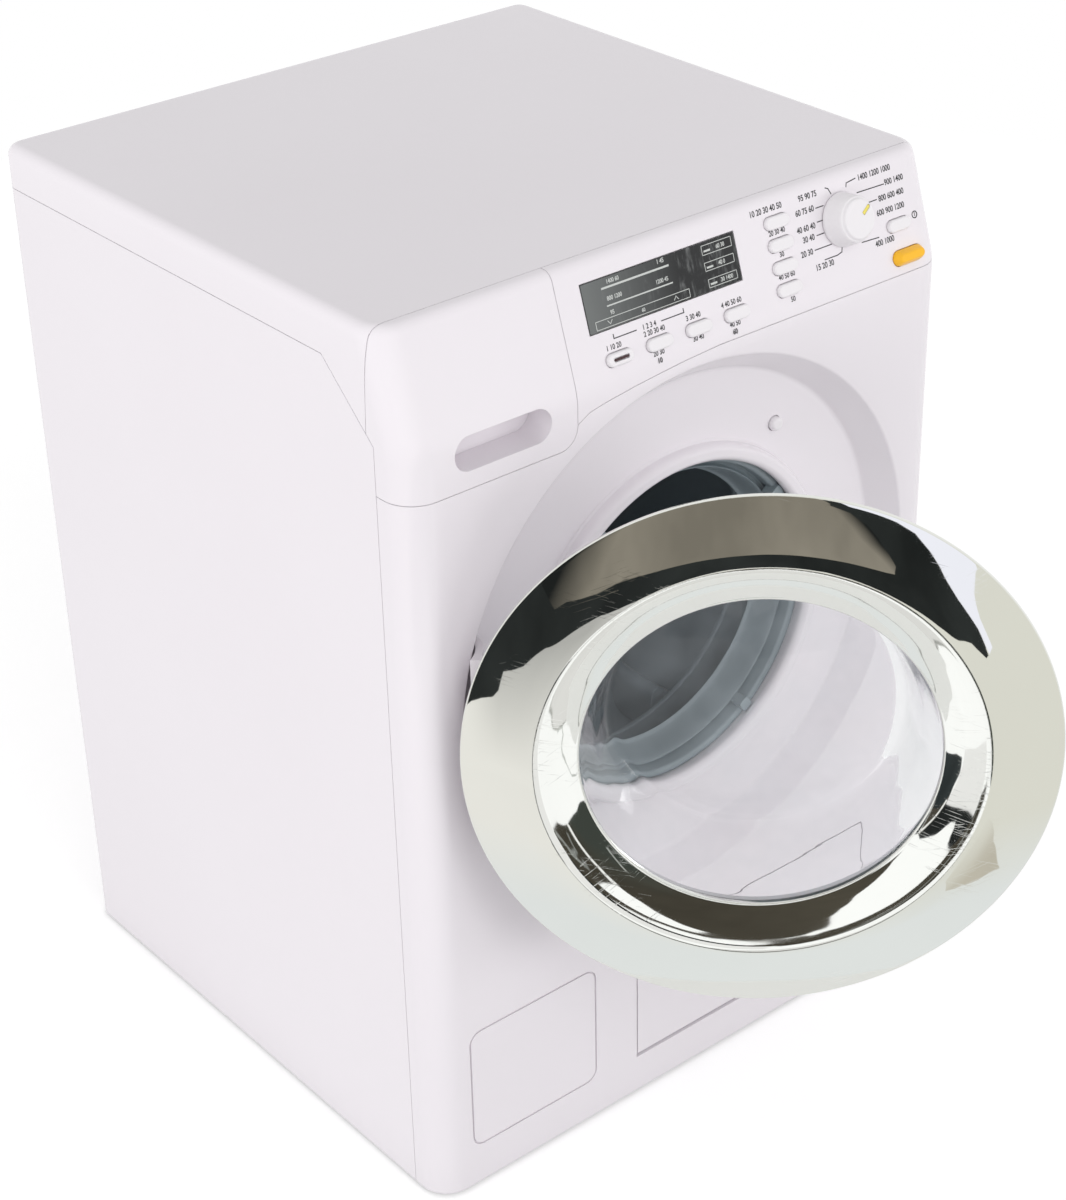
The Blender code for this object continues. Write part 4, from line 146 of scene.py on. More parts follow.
QUARTER = pi / 2
PLACES = {"X": lambda a, b, along: (along, a, b), "Y": lambda a, b, along: (a, along, b),
          "Z": lambda a, b, along: (a, b, along)}
HERE = Matrix.Identity(4)
PLATE = (Matrix.Translation((0, FRONT + (HEIGHT - BREAK_HEIGHT) * tan(LEAN), HEIGHT))
         @ Matrix.Rotation(QUARTER - LEAN, 4, "X"))
DOOR = Matrix.Translation(HINGE) @ Matrix.Rotation(-OPEN_ANGLE, 4, "Z")


# Outlines

def polar(centre, radius, angle):
    return centre[0] + radius * cos(angle), centre[1] + radius * sin(angle)


def turns(start, end, steps=EDGE_STEPS):
    return [start + (end - start) * k / steps for k in range(steps + 1)]


def arc(a, b, radius, start, end, steps):
    return [polar((a, b), radius, turn) for turn in turns(start, end, steps)]


def rounded_box(a0, a1, b0, b1, radius, steps=CORNER_STEPS):
    points = []
    for a, b, start in ((a1 - radius, b0 + radius, -QUARTER), (a1 - radius, b1 - radius, 0),
                        (a0 + radius, b1 - radius, QUARTER), (a0 + radius, b0 + radius, pi)):
        points += arc(a, b, radius, start, start + QUARTER, steps)
    return points


def widened(box, margin):
    a0, a1, b0, b1 = box
    return a0 - margin, a1 + margin, b0 - margin, b1 + margin


def pill(length, height):
    radius = height / 2
    reach = length / 2 - radius
    return (arc(reach, 0, radius, -QUARTER, QUARTER, PILL_STEPS)
            + arc(-reach, 0, radius, QUARTER, pi + QUARTER, PILL_STEPS))


def softened(points, rounds=2):
    """Cut the corners of an open line again and again, with both ends kept."""
    for _ in range(rounds):
        cut_line = [points[0]]
        for (a0, b0), (a1, b1) in zip(points, points[1:]):
            cut_line += [(a0 * (1 - share) + a1 * share, b0 * (1 - share) + b1 * share) for share in (0.25, 0.75)]
        points = cut_line + [points[-1]]
    return points


def offset_line(points, distance):
    sides = []
    for (a0, b0), (a1, b1) in zip(points, points[1:]):
        length = hypot(a1 - a0, b1 - b0)
        sides.append(((b0 - b1) / length, (a1 - a0) / length))
    shifted = []
    for index, (a, b) in enumerate(points):
        before = sides[max(index - 1, 0)]
        after = sides[min(index, len(sides) - 1)]
        shift = distance / (1 + before[0] * after[0] + before[1] * after[1])
        shifted.append((a + (before[0] + after[0]) * shift, b + (before[1] + after[1]) * shift))
    return shifted


# Solids

def closed(data):
    bmesh.ops.recalc_face_normals(data, faces=data.faces[:])
    return data


def loft(loops):
    data = bmesh.new()
    rings = [[data.verts.new(point) for point in loop] for loop in loops]
    count = len(rings[0])
    for low, high in zip(rings, rings[1:]):
        for k in range(count):
            data.faces.new((low[k], low[(k + 1) % count], high[(k + 1) % count], high[k]))
    data.faces.new(rings[0])
    data.faces.new(rings[-1])
    return closed(data)


def prism(outline, axis, low, high):
    place = PLACES[axis]
    return loft([[place(a, b, level) for a, b in outline] for level in (low, high)])


def block(x0, x1, y0, y1, z0, z1):
    return prism(((x0, y0), (x1, y0), (x1, y1), (x0, y1)), "Z", z0, z1)


def slab(box, near, far):
    """A block seen from the front as the box (x0, x1, z0, z1)."""
    return block(*box[:2], near, far, *box[2:])


def pad(box, radius, near, far, steps=CORNER_STEPS):
    """The same with round corners."""
    return prism(rounded_box(*box, radius, steps), "Y", near, far)


def lathe(profile, axis="Y", centre=CENTRE, facets=RECESS_FACETS):
    """Turn a closed outline of (radius, along) points round an axis."""
    data = bmesh.new()
    rings = []
    for radius, along in profile:
        spots = [polar(centre, radius, turn) for turn in turns(0, 2 * pi, facets)[:-1 if radius > 0 else 1]]
        rings.append([data.verts.new(PLACES[axis](*spot, along)) for spot in spots])
    for first, second in zip(rings, rings[1:] + rings[:1]):
        if len(first) == 1 and len(second) == 1:
            continue
        for k in range(facets):
            corners = [first[k % len(first)], first[(k + 1) % len(first)],
                       second[(k + 1) % len(second)], second[k % len(second)]]
            data.faces.new([v for n, v in enumerate(corners) if v not in corners[:n]])
    bmesh.ops.delete(data, geom=[v for v in data.verts if not v.link_faces], context="VERTS")
    return closed(data)


def rod(radius, axis, centre, low, high, facets=ROD_FACETS):
    return lathe(((0, low), (radius, low), (radius, high), (0, high)), axis, centre, facets)


def pill_stack(levels):
    return loft([[(a, b, level) for a, b in pill(length, height)] for length, height, level in levels])


def shown(item):
    bpy.context.scene.collection.objects.link(item)
    return item


def make(name, data, look=None, place=HERE):
    mesh = bpy.data.meshes.new(name)
    data.to_mesh(mesh)
    data.free()
    if look:
        mesh.materials.append(look)
    item = shown(bpy.data.objects.new(name, mesh))
    item.matrix_world = place
    return item


def drop(item):
    bpy.data.objects.remove(item, do_unlink=True)


def result_of(item):
    """The mesh of an item with its modifiers applied."""
    bpy.context.view_layer.update()
    return bpy.data.meshes.new_from_object(item.evaluated_get(bpy.context.evaluated_depsgraph_get()))


def combine(target, data, operation, place=HERE):
    tool = make("tool", data, None, place)
    step = target.modifiers.new("step", "BOOLEAN")
    step.operation, step.solver, step.object = operation, "EXACT", tool
    result = result_of(target)
    target.modifiers.remove(step)
    old, spare = target.data, tool.data
    target.data = result
    drop(tool)
    for mesh in (old, spare):
        bpy.data.meshes.remove(mesh)
    return target


def cut(target, data, place=HERE):
    return combine(target, data, "DIFFERENCE", place)


def join(target, data, place=HERE):
    return combine(target, data, "UNION", place)


def cut_with(target, item):
    """Cut by a helper item, which goes."""
    data = bmesh.new()
    data.from_mesh(item.data)
    drop(item)
    cut(target, data)


def bevelled(item, width):
    step = item.modifiers.new("edges", "BEVEL")
    step.width, step.segments, step.limit_method = width, BEVEL_SEGMENTS, "ANGLE"
    step.angle_limit, step.harden_normals = BEVEL_ANGLE, False
    return item


def finished(item, body, slot, *nodes):
    """Shade a piece, let it ride on its body and stand for its nodes."""
    if body == "door":
        item.data.transform(item.matrix_world)
        item.matrix_world = HERE
    item.data.shade_smooth()
    item.data.set_sharp_from_angle(angle=SMOOTH_ANGLE)
    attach(item, body)
    if nodes:
        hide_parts(*nodes)


# Materials

def plug(tree, value, socket):
    """Link an output to the socket, or set it to a plain value."""
    if isinstance(value, bpy.types.NodeSocket):
        tree.links.new(value, socket)
    else:
        socket.default_value = value


def add(tree, kind, inputs=None, **settings):
    made = tree.nodes.new("ShaderNode" + kind)
    for name, value in settings.items():
        setattr(made, name, value)
    for key, value in (inputs or {}).items():
        plug(tree, value, made.inputs[key])
    return made


def coordinates(tree):
    return add(tree, "TexCoord").outputs["Object"]


def noise(tree, scale, detail=3.0, rough=0.5, stretch=None, turn=(0, 0, 0), distortion=0.0):
    place = coordinates(tree)
    if stretch:
        place = add(tree, "Mapping", {"Vector": place, "Scale": stretch, "Rotation": turn}).outputs[0]
    return add(tree, "TexNoise", {"Vector": place, "Scale": scale, "Detail": detail, "Roughness": rough,
                                  "Distortion": distortion}).outputs["Fac"]


def ranged(tree, value, low, high, out_low=0.0, out_high=1.0):
    return add(tree, "MapRange", {"Value": value, "From Min": low, "From Max": high, "To Min": out_low,
                                  "To Max": out_high}).outputs["Result"]


def patches(tree, low, high, *settings):
    """Noise from 0 below low to 1 above high."""
    return ranged(tree, noise(tree, *settings), low, high)


def blended(tree, share, first, second):
    """Mix two colours, each a socket or three plain values."""
    made = tree.nodes.new("ShaderNodeMix")
    made.data_type = "RGBA"
    plug(tree, share, made.inputs[0])
    for index, colour in ((6, first), (7, second)):
        plug(tree, (*colour, 1.0) if isinstance(colour, tuple) else colour, made.inputs[index])
    return made.outputs[2]


def bump(tree, height, strength, distance, normal=None):
    inputs = {"Height": height, "Strength": strength, "Distance": distance}
    if normal:
        inputs["Normal"] = normal
    return add(tree, "Bump", inputs).outputs["Normal"]


def edge_normal(tree, radius):
    return add(tree, "Bevel", {"Radius": radius}, samples=4).outputs["Normal"]


def surface(name, roughness, metallic=0.0, ior=1.46):
    made = bpy.data.materials.new(name)
    made.use_nodes = True
    shader = made.node_tree.nodes["Principled BSDF"]
    for key, value in (("Metallic", metallic), ("Roughness", roughness), ("IOR", ior)):
        shader.inputs[key].default_value = value
    return made, made.node_tree, shader


def bare_look(name):
    """A material with nothing but its output."""
    made = bpy.data.materials.new(name)
    made.use_nodes = True
    made.node_tree.nodes.remove(made.node_tree.nodes["Principled BSDF"])
    return made, made.node_tree


def diffuse(tree, colour):
    return add(tree, "BsdfDiffuse", {"Color": (*colour, 1.0)}).outputs[0]


def mixed(tree, share, first, second):
    return add(tree, "MixShader", {0: share, 1: first, 2: second}).outputs[0]


def sent_out(tree, shader):
    tree.links.new(shader, tree.nodes["Material Output"].inputs["Surface"])


def feed(tree, shader, **values):
    for name, value in values.items():
        tree.links.new(value, shader.inputs[name.replace("_", " ")])


def moulded(name, colour, shade, roughness, edge=0.00025, grain=0.00002, ripple=0.0):
    """Moulded plastic: two close colours, a fine grain and rounded edges."""
    made, tree, shader = surface(name, roughness)
    tone = blended(tree, patches(tree, 0.35, 0.65, 9.0, 4.0, 0.55), colour, shade)
    normal = edge_normal(tree, edge)
    if ripple:
        normal = bump(tree, noise(tree, 22.0, 1.0, 0.4), ripple, 0.001, normal)
    if grain:
        normal = bump(tree, noise(tree, 1600.0, 2.0, 0.6), 0.35, grain, normal)
    rough = ranged(tree, noise(tree, 60.0, 4.0, 0.6), 0.3, 0.7, roughness * 0.93, roughness * 1.2)
    feed(tree, shader, Base_Color=tone, Roughness=rough, Normal=normal)
    return made


def hairlines(tree, turn, low, high):
    """Fine scratches that run one way."""
    place = add(tree, "Mapping", {"Vector": coordinates(tree), "Rotation": (0, radians(turn), 0),
                                  "Scale": (1.0, 1.0, 1 / 60)}, vector_type="TEXTURE").outputs[0]
    lines = add(tree, "TexNoise", {"Vector": place, "Scale": 85.0, "Detail": 1.0}).outputs["Fac"]
    return ranged(tree, lines, low, high)


def larger(tree, first, second):
    return add(tree, "Math", {0: first, 1: second}, operation="MAXIMUM").outputs[0]


def seen_share(tree, path):
    """1 where the camera sees a thing straight, in a mirror or through clear plastic."""
    share = path.outputs["Is Camera Ray"]
    for kind in ("Is Glossy Ray", "Is Transmission Ray"):
        share = larger(tree, share, path.outputs[kind])
    return share


def times(tree, first, second):
    return add(tree, "Math", {0: first, 1: second}, operation="MULTIPLY").outputs[0]


def chrome_plating():
    """Plating with a slow ripple, and worn patches that hold hairlines and pits."""
    made, tree, shader = surface("ring_chrome", 0.04, metallic=1.0)
    tone = blended(tree, patches(tree, 0.4, 0.7, 30.0), (0.79, 0.8, 0.76), (0.775, 0.785, 0.745))
    worn = patches(tree, 0.5, 0.62, 28.0, 2.0)
    lines = larger(tree, hairlines(tree, 22, 0.68, 0.74), hairlines(tree, -30, 0.69, 0.75))
    pits = patches(tree, 0.79, 0.81, 2300.0, 1.0)
    marks = times(tree, larger(tree, lines, pits), worn)
    normal = bump(tree, noise(tree, 45.0, 2.0), 0.035, 0.001, edge_normal(tree, 0.0002))
    normal = bump(tree, marks, 0.16, 0.00003, normal)
    feed(tree, shader, Base_Color=tone, Roughness=ranged(tree, marks, 0.0, 1.0, 0.03, 0.14), Normal=normal)
    bounced = add(tree, "LightPath").outputs["Is Diffuse Ray"]
    sent_out(tree, mixed(tree, bounced, shader.outputs[0], diffuse(tree, (0.62, 0.63, 0.6))))
    return made


def clear_plastic():
    """Clear plastic with a thin milky haze. Shadows and bounced light pass straight through it."""
    made, tree, shader = surface("bowl_clear", 0.03, ior=1.28)
    shader.inputs["Transmission Weight"].default_value = 1.0
    shader.inputs["Base Color"].default_value = (0.985, 0.988, 0.99, 1.0)
    scratch = patches(tree, 0.68, 0.73, 150.0, 3.0, 0.6, (1.0, 1.0, 20.0), (0.6, 0.2, 0.0))
    feed(tree, shader, Roughness=ranged(tree, scratch, 0.0, 1.0, 0.02, 0.2),
         Normal=bump(tree, noise(tree, 35.0, 2.0), 0.17, 0.001))
    haze = ranged(tree, noise(tree, 40.0, 4.0, 0.6), 0.35, 0.75, 0.015, 0.1)
    milky = mixed(tree, haze, shader.outputs[0], diffuse(tree, (0.8, 0.88, 0.94)))
    through = add(tree, "BsdfTransparent", {"Color": (0.9, 0.91, 0.91, 1.0)}).outputs[0]
    path = add(tree, "LightPath")
    soft = larger(tree, path.outputs["Is Shadow Ray"], path.outputs["Is Diffuse Ray"])
    sent_out(tree, mixed(tree, soft, milky, through))
    return made


def display_glass():
    """Dark window: a grey panel on the left, black on the right, with streaks of dust."""
    made, tree, shader = surface("display_glass", 0.07)
    place = add(tree, "SeparateXYZ", {0: coordinates(tree)}).outputs["X"]
    tone = blended(tree, ranged(tree, place, -0.03, -0.0005), (0.15, 0.16, 0.158), (0.01, 0.011, 0.012))
    streaks = ranged(tree, noise(tree, 420.0, 5.0, 0.7, (1.0, 0.14, 1.0), (0.0, 0.0, 0.25), 0.8), 0.5, 0.72, 0.0, 0.8)
    dust = times(tree, streaks, patches(tree, 0.42, 0.58, 120.0, 3.0, 0.6))
    dust = times(tree, dust, ranged(tree, place, -0.012, 0.0000, 0.25, 1.0))
    feed(tree, shader, Base_Color=blended(tree, dust, tone, (0.24, 0.25, 0.25)),
         Roughness=ranged(tree, dust, 0.0, 0.5, 0.06, 0.3))
    return made


def metal(name, colour, roughness):
    made, tree, shader = surface(name, roughness, metallic=1.0)
    brushed = noise(tree, 300.0, 3.0, 0.6, (1.0, 20.0, 1.0))
    feed(tree, shader, Base_Color=blended(tree, brushed, colour, tuple(c * 0.8 for c in colour)),
         Roughness=ranged(tree, brushed, 0.3, 0.7, roughness * 0.8, roughness * 1.3))
    return made


def ink(name, colour):
    made, tree, shader = surface(name, 0.5)
    worn = noise(tree, 900.0, 3.0, 0.6)
    feed(tree, shader, Base_Color=blended(tree, ranged(tree, worn, 0.45, 0.75, 0.0, 0.5), colour,
                                          tuple(c * 0.7 + 0.12 for c in colour)))
    return made


WHITE = moulded("white_abs", (0.862, 0.824, 0.862), (0.852, 0.812, 0.85), 0.225, grain=0, ripple=0.05)
KNOB_WHITE = moulded("knob_abs", (0.87, 0.845, 0.868), (0.855, 0.83, 0.853), 0.3, edge=0.00018)
YELLOW = moulded("yellow_abs", (1.0, 0.54, 0.02), (0.98, 0.5, 0.018), 0.3, edge=0.0003)
PALE_YELLOW = moulded("pointer_yellow", (0.86, 0.74, 0.16), (0.82, 0.7, 0.14), 0.32, edge=0.0001)
SEAL = moulded("seal_rubber", (0.25, 0.295, 0.318), (0.232, 0.278, 0.305), 0.42, edge=0.0004, grain=0)
DRUM = moulded("drum_grey", (0.18, 0.215, 0.238), (0.16, 0.192, 0.214), 0.36, edge=0.0004, grain=0)
DARK = moulded("dark_abs", (0.035, 0.038, 0.042), (0.028, 0.03, 0.034), 0.45, edge=0.0003)
LENS = moulded("lens_dark", (0.06, 0.022, 0.025), (0.045, 0.018, 0.02), 0.15, edge=0.0001)
BOARD = moulded("board_green", (0.03, 0.16, 0.07), (0.025, 0.13, 0.06), 0.45, edge=0.0002)
NATURAL = moulded("gear_natural", (0.78, 0.77, 0.72), (0.74, 0.73, 0.68), 0.4, edge=0.0002)
CHROME = chrome_plating()
CLEAR = clear_plastic()
GLASS = display_glass()
STEEL = metal("plain_steel", (0.55, 0.55, 0.56), 0.28)
INK = ink("print_dark", (0.03, 0.03, 0.034))
LIGHT_INK = ink("print_light", (0.6, 0.62, 0.6))


# Shell mouldings

def level_outline(inset, height, front, drawn_in):
    half, back = HALF - inset - drawn_in, BACK - inset - drawn_in
    near = max(NEAR_CORNER - inset - drawn_in, SEAM_GAP)
    far = max(FAR_CORNER - inset - drawn_in, SEAM_GAP)
    points = []
    for x, y, radius, start, steps in ((-half + near, front + near, near, pi, CORNER_STEPS),
                                       (half - near, front + near, near, -QUARTER, CORNER_STEPS),
                                       (half - far, back - far, far, 0, FAR_STEPS),
                                       (-half + far, back - far, far, QUARTER, FAR_STEPS)):
        points += arc(x, y, radius, start, start + QUARTER, steps)
    return [(x, y, height) for x, y in points]


def body_form(inset, bottom):
    """The whole body, or with an inset its inside."""
    top, edge, blend = HEIGHT - inset, max(TOP_EDGE - inset, SEAM_GAP), BLEND_RADIUS - inset
    face = FRONT + inset
    turn = BREAK_HEIGHT - inset * tan(LEAN / 2)
    start = turn - blend * tan(LEAN / 2)
    levels = [(bottom, face, 0)]
    levels += [(start + blend * sin(t), face + blend * (1 - cos(t)), 0) for t in turns(0, LEAN)]
    touch = top - edge + edge * sin(LEAN)
    centre = face + (touch - turn) * tan(LEAN) + edge * cos(LEAN)
    levels.append((top - edge, face + (top - edge - turn) * tan(LEAN), 0))
    levels += [(top - edge + edge * sin(t), centre - edge * cos(t), edge * (1 - cos(t))) for t in turns(LEAN, QUARTER)]
    return loft([level_outline(inset, *level) for level in levels])


def moulding(name, shell):
    piece = shown(bpy.data.objects.new(name, shell.data.copy()))
    piece.data.materials.append(WHITE)
    return piece


def cut_beyond(piece, line, distance, corners, axis):
    """Cut all on one side of a seam. The corners close its outline."""
    low, high = (-SIDE, SIDE) if axis == "X" else (FORE, BACK)
    return cut(piece, prism(offset_line(line, distance) + corners, axis, low, high))


UPRIGHT = [(SIDE_SEAM_Y, LOW), (SIDE_SEAM_Y, TURN_HEIGHT)]
DIAGONAL = [(LOW_SEAM_Y, LOW_SEAM_HEIGHT), (TOP_SEAM_Y, HIGH)]
SKIRT = [(SKIRT_Y, SKIRT_HEIGHT), (REAR, SKIRT_HEIGHT)]
DRAWER_TURN = arc(DRAWER_X - DRAWER_CORNER, DRAWER_HEIGHT + DRAWER_CORNER, DRAWER_CORNER, -QUARTER, 0, CORNER_STEPS)
TIP = DRAWER_HEIGHT + DRAWER_CORNER
DROOP = [(DRAWER_X + (PANEL_FLAT_X - DRAWER_X) * a, TIP + (PANEL_HEIGHT - TIP) * b) for a, b in DROOP_SHARES]
SWITCH_SPOT = polar(CENTRE, SWITCH_RADIUS, SWITCH_ANGLE)
FLAP_AXIS = (FRONT + FLAP_ROD, FLAP[2] + FLAP_ROD)


def fascia_strip(name, shell):
    return cut_beyond(moulding(name, shell), UPRIGHT + DIAGONAL, SEAM_GAP / 2, [(REAR, HIGH), (REAR, LOW)], "X")


def side_shell(shell):
    piece = cut_beyond(moulding("side_shell_moulding", shell), UPRIGHT + SKIRT, -SEAM_GAP / 2,
                       [(REAR, HIGH), (FORE, HIGH), (FORE, LOW)], "X")
    for k in range(VENTS):
        low = VENT_LOW + VENT_PITCH * k
        vent = (-VENT_HALF, VENT_HALF, low, low + VENT_TALL)
        cut(piece, pad(vent, VENT_TALL / 2, BACK - WALL - OVER, REAR, EDGE_STEPS))
    finished(piece, "cabinet", "white_plastic", "side_shell")


def top_cover(shell):
    piece = cut_beyond(moulding("top_cover_moulding", shell), DIAGONAL[::-1] + SKIRT, SEAM_GAP / 2,
                       [(REAR, LOW), (FORE, LOW), (FORE, HIGH)], "X")
    finished(piece, "cabinet", "white_plastic", "top_cover")


def recess_cutter():
    """The hollow of the recess: rim, sloped wall, floor, collar and throat."""
    slope = (RIM_RADIUS - FLOOR_RADIUS) / RECESS_DEPTH
    bend = turns(0, QUARTER - atan(slope))
    crest, half = FLOOR_Y - COLLAR_RISE, COLLAR_ROUND / 2
    profile = [(0, FORE), (RIM_RADIUS + RIM_ROUND, FORE)]
    profile += [(RIM_RADIUS + RIM_ROUND * (1 - sin(t)) - slope * RIM_ROUND / 2,
                 FRONT - RUN_GAP / 20 + RIM_ROUND * (1 - cos(t))) for t in bend]
    profile += [(FLOOR_RADIUS - FLOOR_ROUND + FLOOR_ROUND * sin(t), FLOOR_Y - FLOOR_ROUND + FLOOR_ROUND * cos(t))
                for t in reversed(bend)]
    profile.append((COLLAR_OUT + half, FLOOR_Y))
    profile += softened([(COLLAR_OUT, FLOOR_Y - half), (COLLAR_OUT - COLLAR_ROUND / 4, crest + COLLAR_ROUND),
                         (COLLAR_OUT - COLLAR_ROUND, crest), ((COLLAR_OUT + COLLAR_IN) / 2, crest),
                         (COLLAR_IN + COLLAR_ROUND, crest), (COLLAR_IN, crest + COLLAR_ROUND),
                         (COLLAR_IN, FLOOR_Y - COLLAR_ROUND)], 3)
    return lathe(profile + [(THROAT, FLOOR_Y - THROAT_STEP), (THROAT, THROUGH), (0, THROUGH)])


def front_panel(shell):
    piece = fascia_strip("front_moulding", shell)
    line = [(-SIDE, DRAWER_HEIGHT)] + DRAWER_TURN + DROOP + [(SIDE, PANEL_HEIGHT)]
    cut_beyond(piece, line, -SEAM_GAP / 2, [(SIDE, HIGH), (-SIDE, HIGH)], "Y")
    middle, inside = CENTRE[1], FRONT + WALL / 2
    join(piece, lathe([(0, inside), (RIM_RADIUS + WALL, inside), (FLOOR_RADIUS + WALL, FLOOR_BACK), (0, FLOOR_BACK)]))
    half = ARM_HALF + SLOT_MARGIN
    left, reach = HINGE[0] - HINGE_HALF, HINGE[0] + ARM_CURVE + ARM_WALL + ARM_ROOM
    lug_low, lug_high = half + LUG_SPAN[0], half + LUG_SPAN[1]
    for low, high in ((lug_low, lug_high), (-lug_high, -lug_low)):
        join(piece, block(left, HINGE[0] + HINGE_HALF, inside, HINGE[1] + HINGE_BACK, middle + low, middle + high))
    cut(piece, rod(PIN_RADIUS + RUN_GAP, "Z", HINGE[:2], middle - lug_high - OVER, middle + lug_high + OVER))
    for angle in POSTS:
        spot = polar(CENTRE, POST_CIRCLE, radians(angle))
        join(piece, rod(POST_RADIUS, "Y", spot, FLOOR_Y + WALL / 2, TUB_FRONT - GAP))
    cut(piece, recess_cutter())
    low, high = middle - half, middle + half
    cut(piece, block(left, reach, FRONT + WALL, THROUGH, low, high))
    edge = make("edge", rod(RIM_RADIUS, "Y", CENTRE, FORE, FRONT + WALL + GAP, RECESS_FACETS))
    combine(edge, block(HINGE[0] - SLOT_EDGE, reach, FRONT - 2 * OVER, FRONT + WALL + OVER, low, high), "INTERSECT")
    cut_with(piece, edge)
    cut(piece, rod(PIN_HOLE, "Y", SWITCH_SPOT, FRONT, THROUGH))
    hook = CENTRE[0] + HOOK_RADIUS
    cut(piece, pad((hook - HOOK_HALF, hook + HOOK_HALF, middle - HOOK_TALL, middle + HOOK_TALL), HOOK_ROUND,
                   FLOOR_Y - OVER, THROUGH, 4))
    join(piece, slab(widened(FLAP, POCKET_MARGIN + POCKET_WALL), inside, FRONT + POCKET_DEPTH + POCKET_WALL))
    cut(piece, slab(widened(FLAP, POCKET_MARGIN), FRONT + WALL, FRONT + POCKET_DEPTH))
    cut(piece, prism(flap_outline(FLAP_GAP), "Y", FORE, FRONT + WALL + GAP))
    cut(piece, rod(FLAP_PIN + RUN_GAP, "X", FLAP_AXIS, FLAP[0] - FLAP_HOLE_REACH, FLAP[1] + FLAP_HOLE_REACH))
    ring = make("ring", pad(COVER, COVER_CORNER, FORE, FRONT + GROOVE_DEPTH))
    cut(ring, pad(widened(COVER, -GROOVE), COVER_CORNER - GROOVE, FRONT - 2 * OVER, FRONT + GROOVE_DEPTH + OVER))
    cut_with(piece, ring)
    finished(piece, "cabinet", "white_plastic", "front_panel")


def flap_outline(margin):
    left, right, low, high = widened(FLAP, margin)
    step_x, step_z = FLAP[1] - NOTCH[0] + margin, FLAP[3] - NOTCH[1] + margin
    return [(left, low), (right, low), (right, step_z), (step_x, step_z), (step_x, high), (left, high)]


def service_flap():
    left, right, _, top = FLAP
    back = FRONT + FLAP_WALL
    meet = acos((back - FLAP_AXIS[0]) / FLAP_ROD)
    outline = arc(*FLAP_AXIS, FLAP_ROD, pi, 2 * pi + meet, ROD_FACETS) + [(back, top), (FRONT, top)]
    piece = make("flap_moulding", prism(outline, "X", left, right), WHITE)
    cut(piece, block(right - NOTCH[0], right + OVER, FORE, back + OVER, top - NOTCH[1], top + OVER))
    join(piece, rod(FLAP_PIN, "X", FLAP_AXIS, left - FLAP_PIN_REACH, right + FLAP_PIN_REACH))
    finished(piece, "flap", "white_plastic", "service_flap")


def drawer_front(shell):
    piece = fascia_strip("drawer_moulding", shell)
    line = [(-SIDE, DRAWER_HEIGHT)] + DRAWER_TURN + [(DRAWER_X, HIGH)]
    cut_beyond(piece, line, SEAM_GAP / 2, [(SIDE, HIGH), (SIDE, LOW), (-SIDE, LOW)], "Y")
    radius = (HANDLE[3] - HANDLE[2]) / 2
    join(piece, pad(widened(HANDLE, HANDLE_WALL), radius + HANDLE_WALL, FRONT + WALL / 2,
                    FRONT + HANDLE_DEPTH + HANDLE_WALL))
    cut(piece, pad(HANDLE, radius, FORE, FRONT + HANDLE_DEPTH))
    finished(piece, "drawer", "white_plastic", "drawer_front")


# Control panel

def on_plate(x, s):
    return PLATE @ Matrix.Translation((x, -s, 0))


def control_panel(shell):
    piece = fascia_strip("control_moulding", shell)
    line = [(DRAWER_X, HIGH), (DRAWER_X, TIP)] + DROOP + [(SIDE, PANEL_HEIGHT)]
    cut_beyond(piece, line, SEAM_GAP / 2, [(SIDE, LOW), (-SIDE, LOW), (-SIDE, HIGH)], "Y")
    x0, x1, s0, s1 = DISPLAY
    cut(piece, block(x0, x1, -s1, -s0, -DISPLAY_DEPTH, OVER), PLATE)
    holes = [(BUTTON_LONG, BUTTON_TALL, x, s) for _, x, s in BUTTONS] + [(DOOR_LONG, DOOR_TALL, *DOOR_BUTTON_PLACE)]
    for long, tall, x, s in holes:
        levels = [(long + BUTTON_ROOM, tall + BUTTON_ROOM, level) for level in (-WALL - OVER, OVER)]
        cut(piece, pill_stack(levels), on_plate(x, s))
    x, s = KNOB_PLACE
    cut(piece, rod(KNOB_SHAFT + GAP, "Z", (x, -s), -WALL - OVER, OVER), PLATE)
    finished(piece, "cabinet", "white_plastic", "control_panel")


BUTTONS = [("start_button", ROW_X[0], ROW_S)]
BUTTONS += [("row_button_%d" % k, ROW_X[k], ROW_S) for k in (1, 2, 3)]
BUTTONS += [("column_button_%d" % (k + 1), COLUMN_X, s) for k, s in enumerate(COLUMN_S)]
BUTTONS.append(("power_button", *POWER_PLACE))
BUTTON_BODIES = {"start_button": "start", "power_button": "power"}


def flanged(long, tall, under):
    """The flange under a cap, up to the foot of its sides."""
    wide, high = long + FLANGE_MARGIN, tall + FLANGE_MARGIN
    return [(wide, high, under - FLANGE), (wide, high, under), (long, tall, under)]


def buttons():
    top, bend = BUTTON_PROUD, BUTTON_ROUND
    levels = flanged(BUTTON_LONG, BUTTON_TALL, -WALL - GAP)
    for turn in turns(0, QUARTER):
        inward = 2 * bend * (1 - cos(turn))
        levels.append((BUTTON_LONG - inward, BUTTON_TALL - inward, top - bend + bend * sin(turn)))
    for name, x, s in BUTTONS:
        place = on_plate(x, s)
        piece = make(name + "_cap", pill_stack(levels), KNOB_WHITE, place)
        if name == "start_button":
            cut(piece, pill_stack([(*LENS_SLOT, level) for level in (top - LENS_SLOT_DEPTH, top + OVER)]), place)
            lens = pill_stack([(*LENS_PILL, level) for level in (top - LENS_DEPTH, top)])
            finished(make("start_lens_insert", lens, LENS, place), "start", "dark_plastic", "start_lens")
        finished(piece, BUTTON_BODIES.get(name, name.replace("_button", "")), "white_plastic", name)


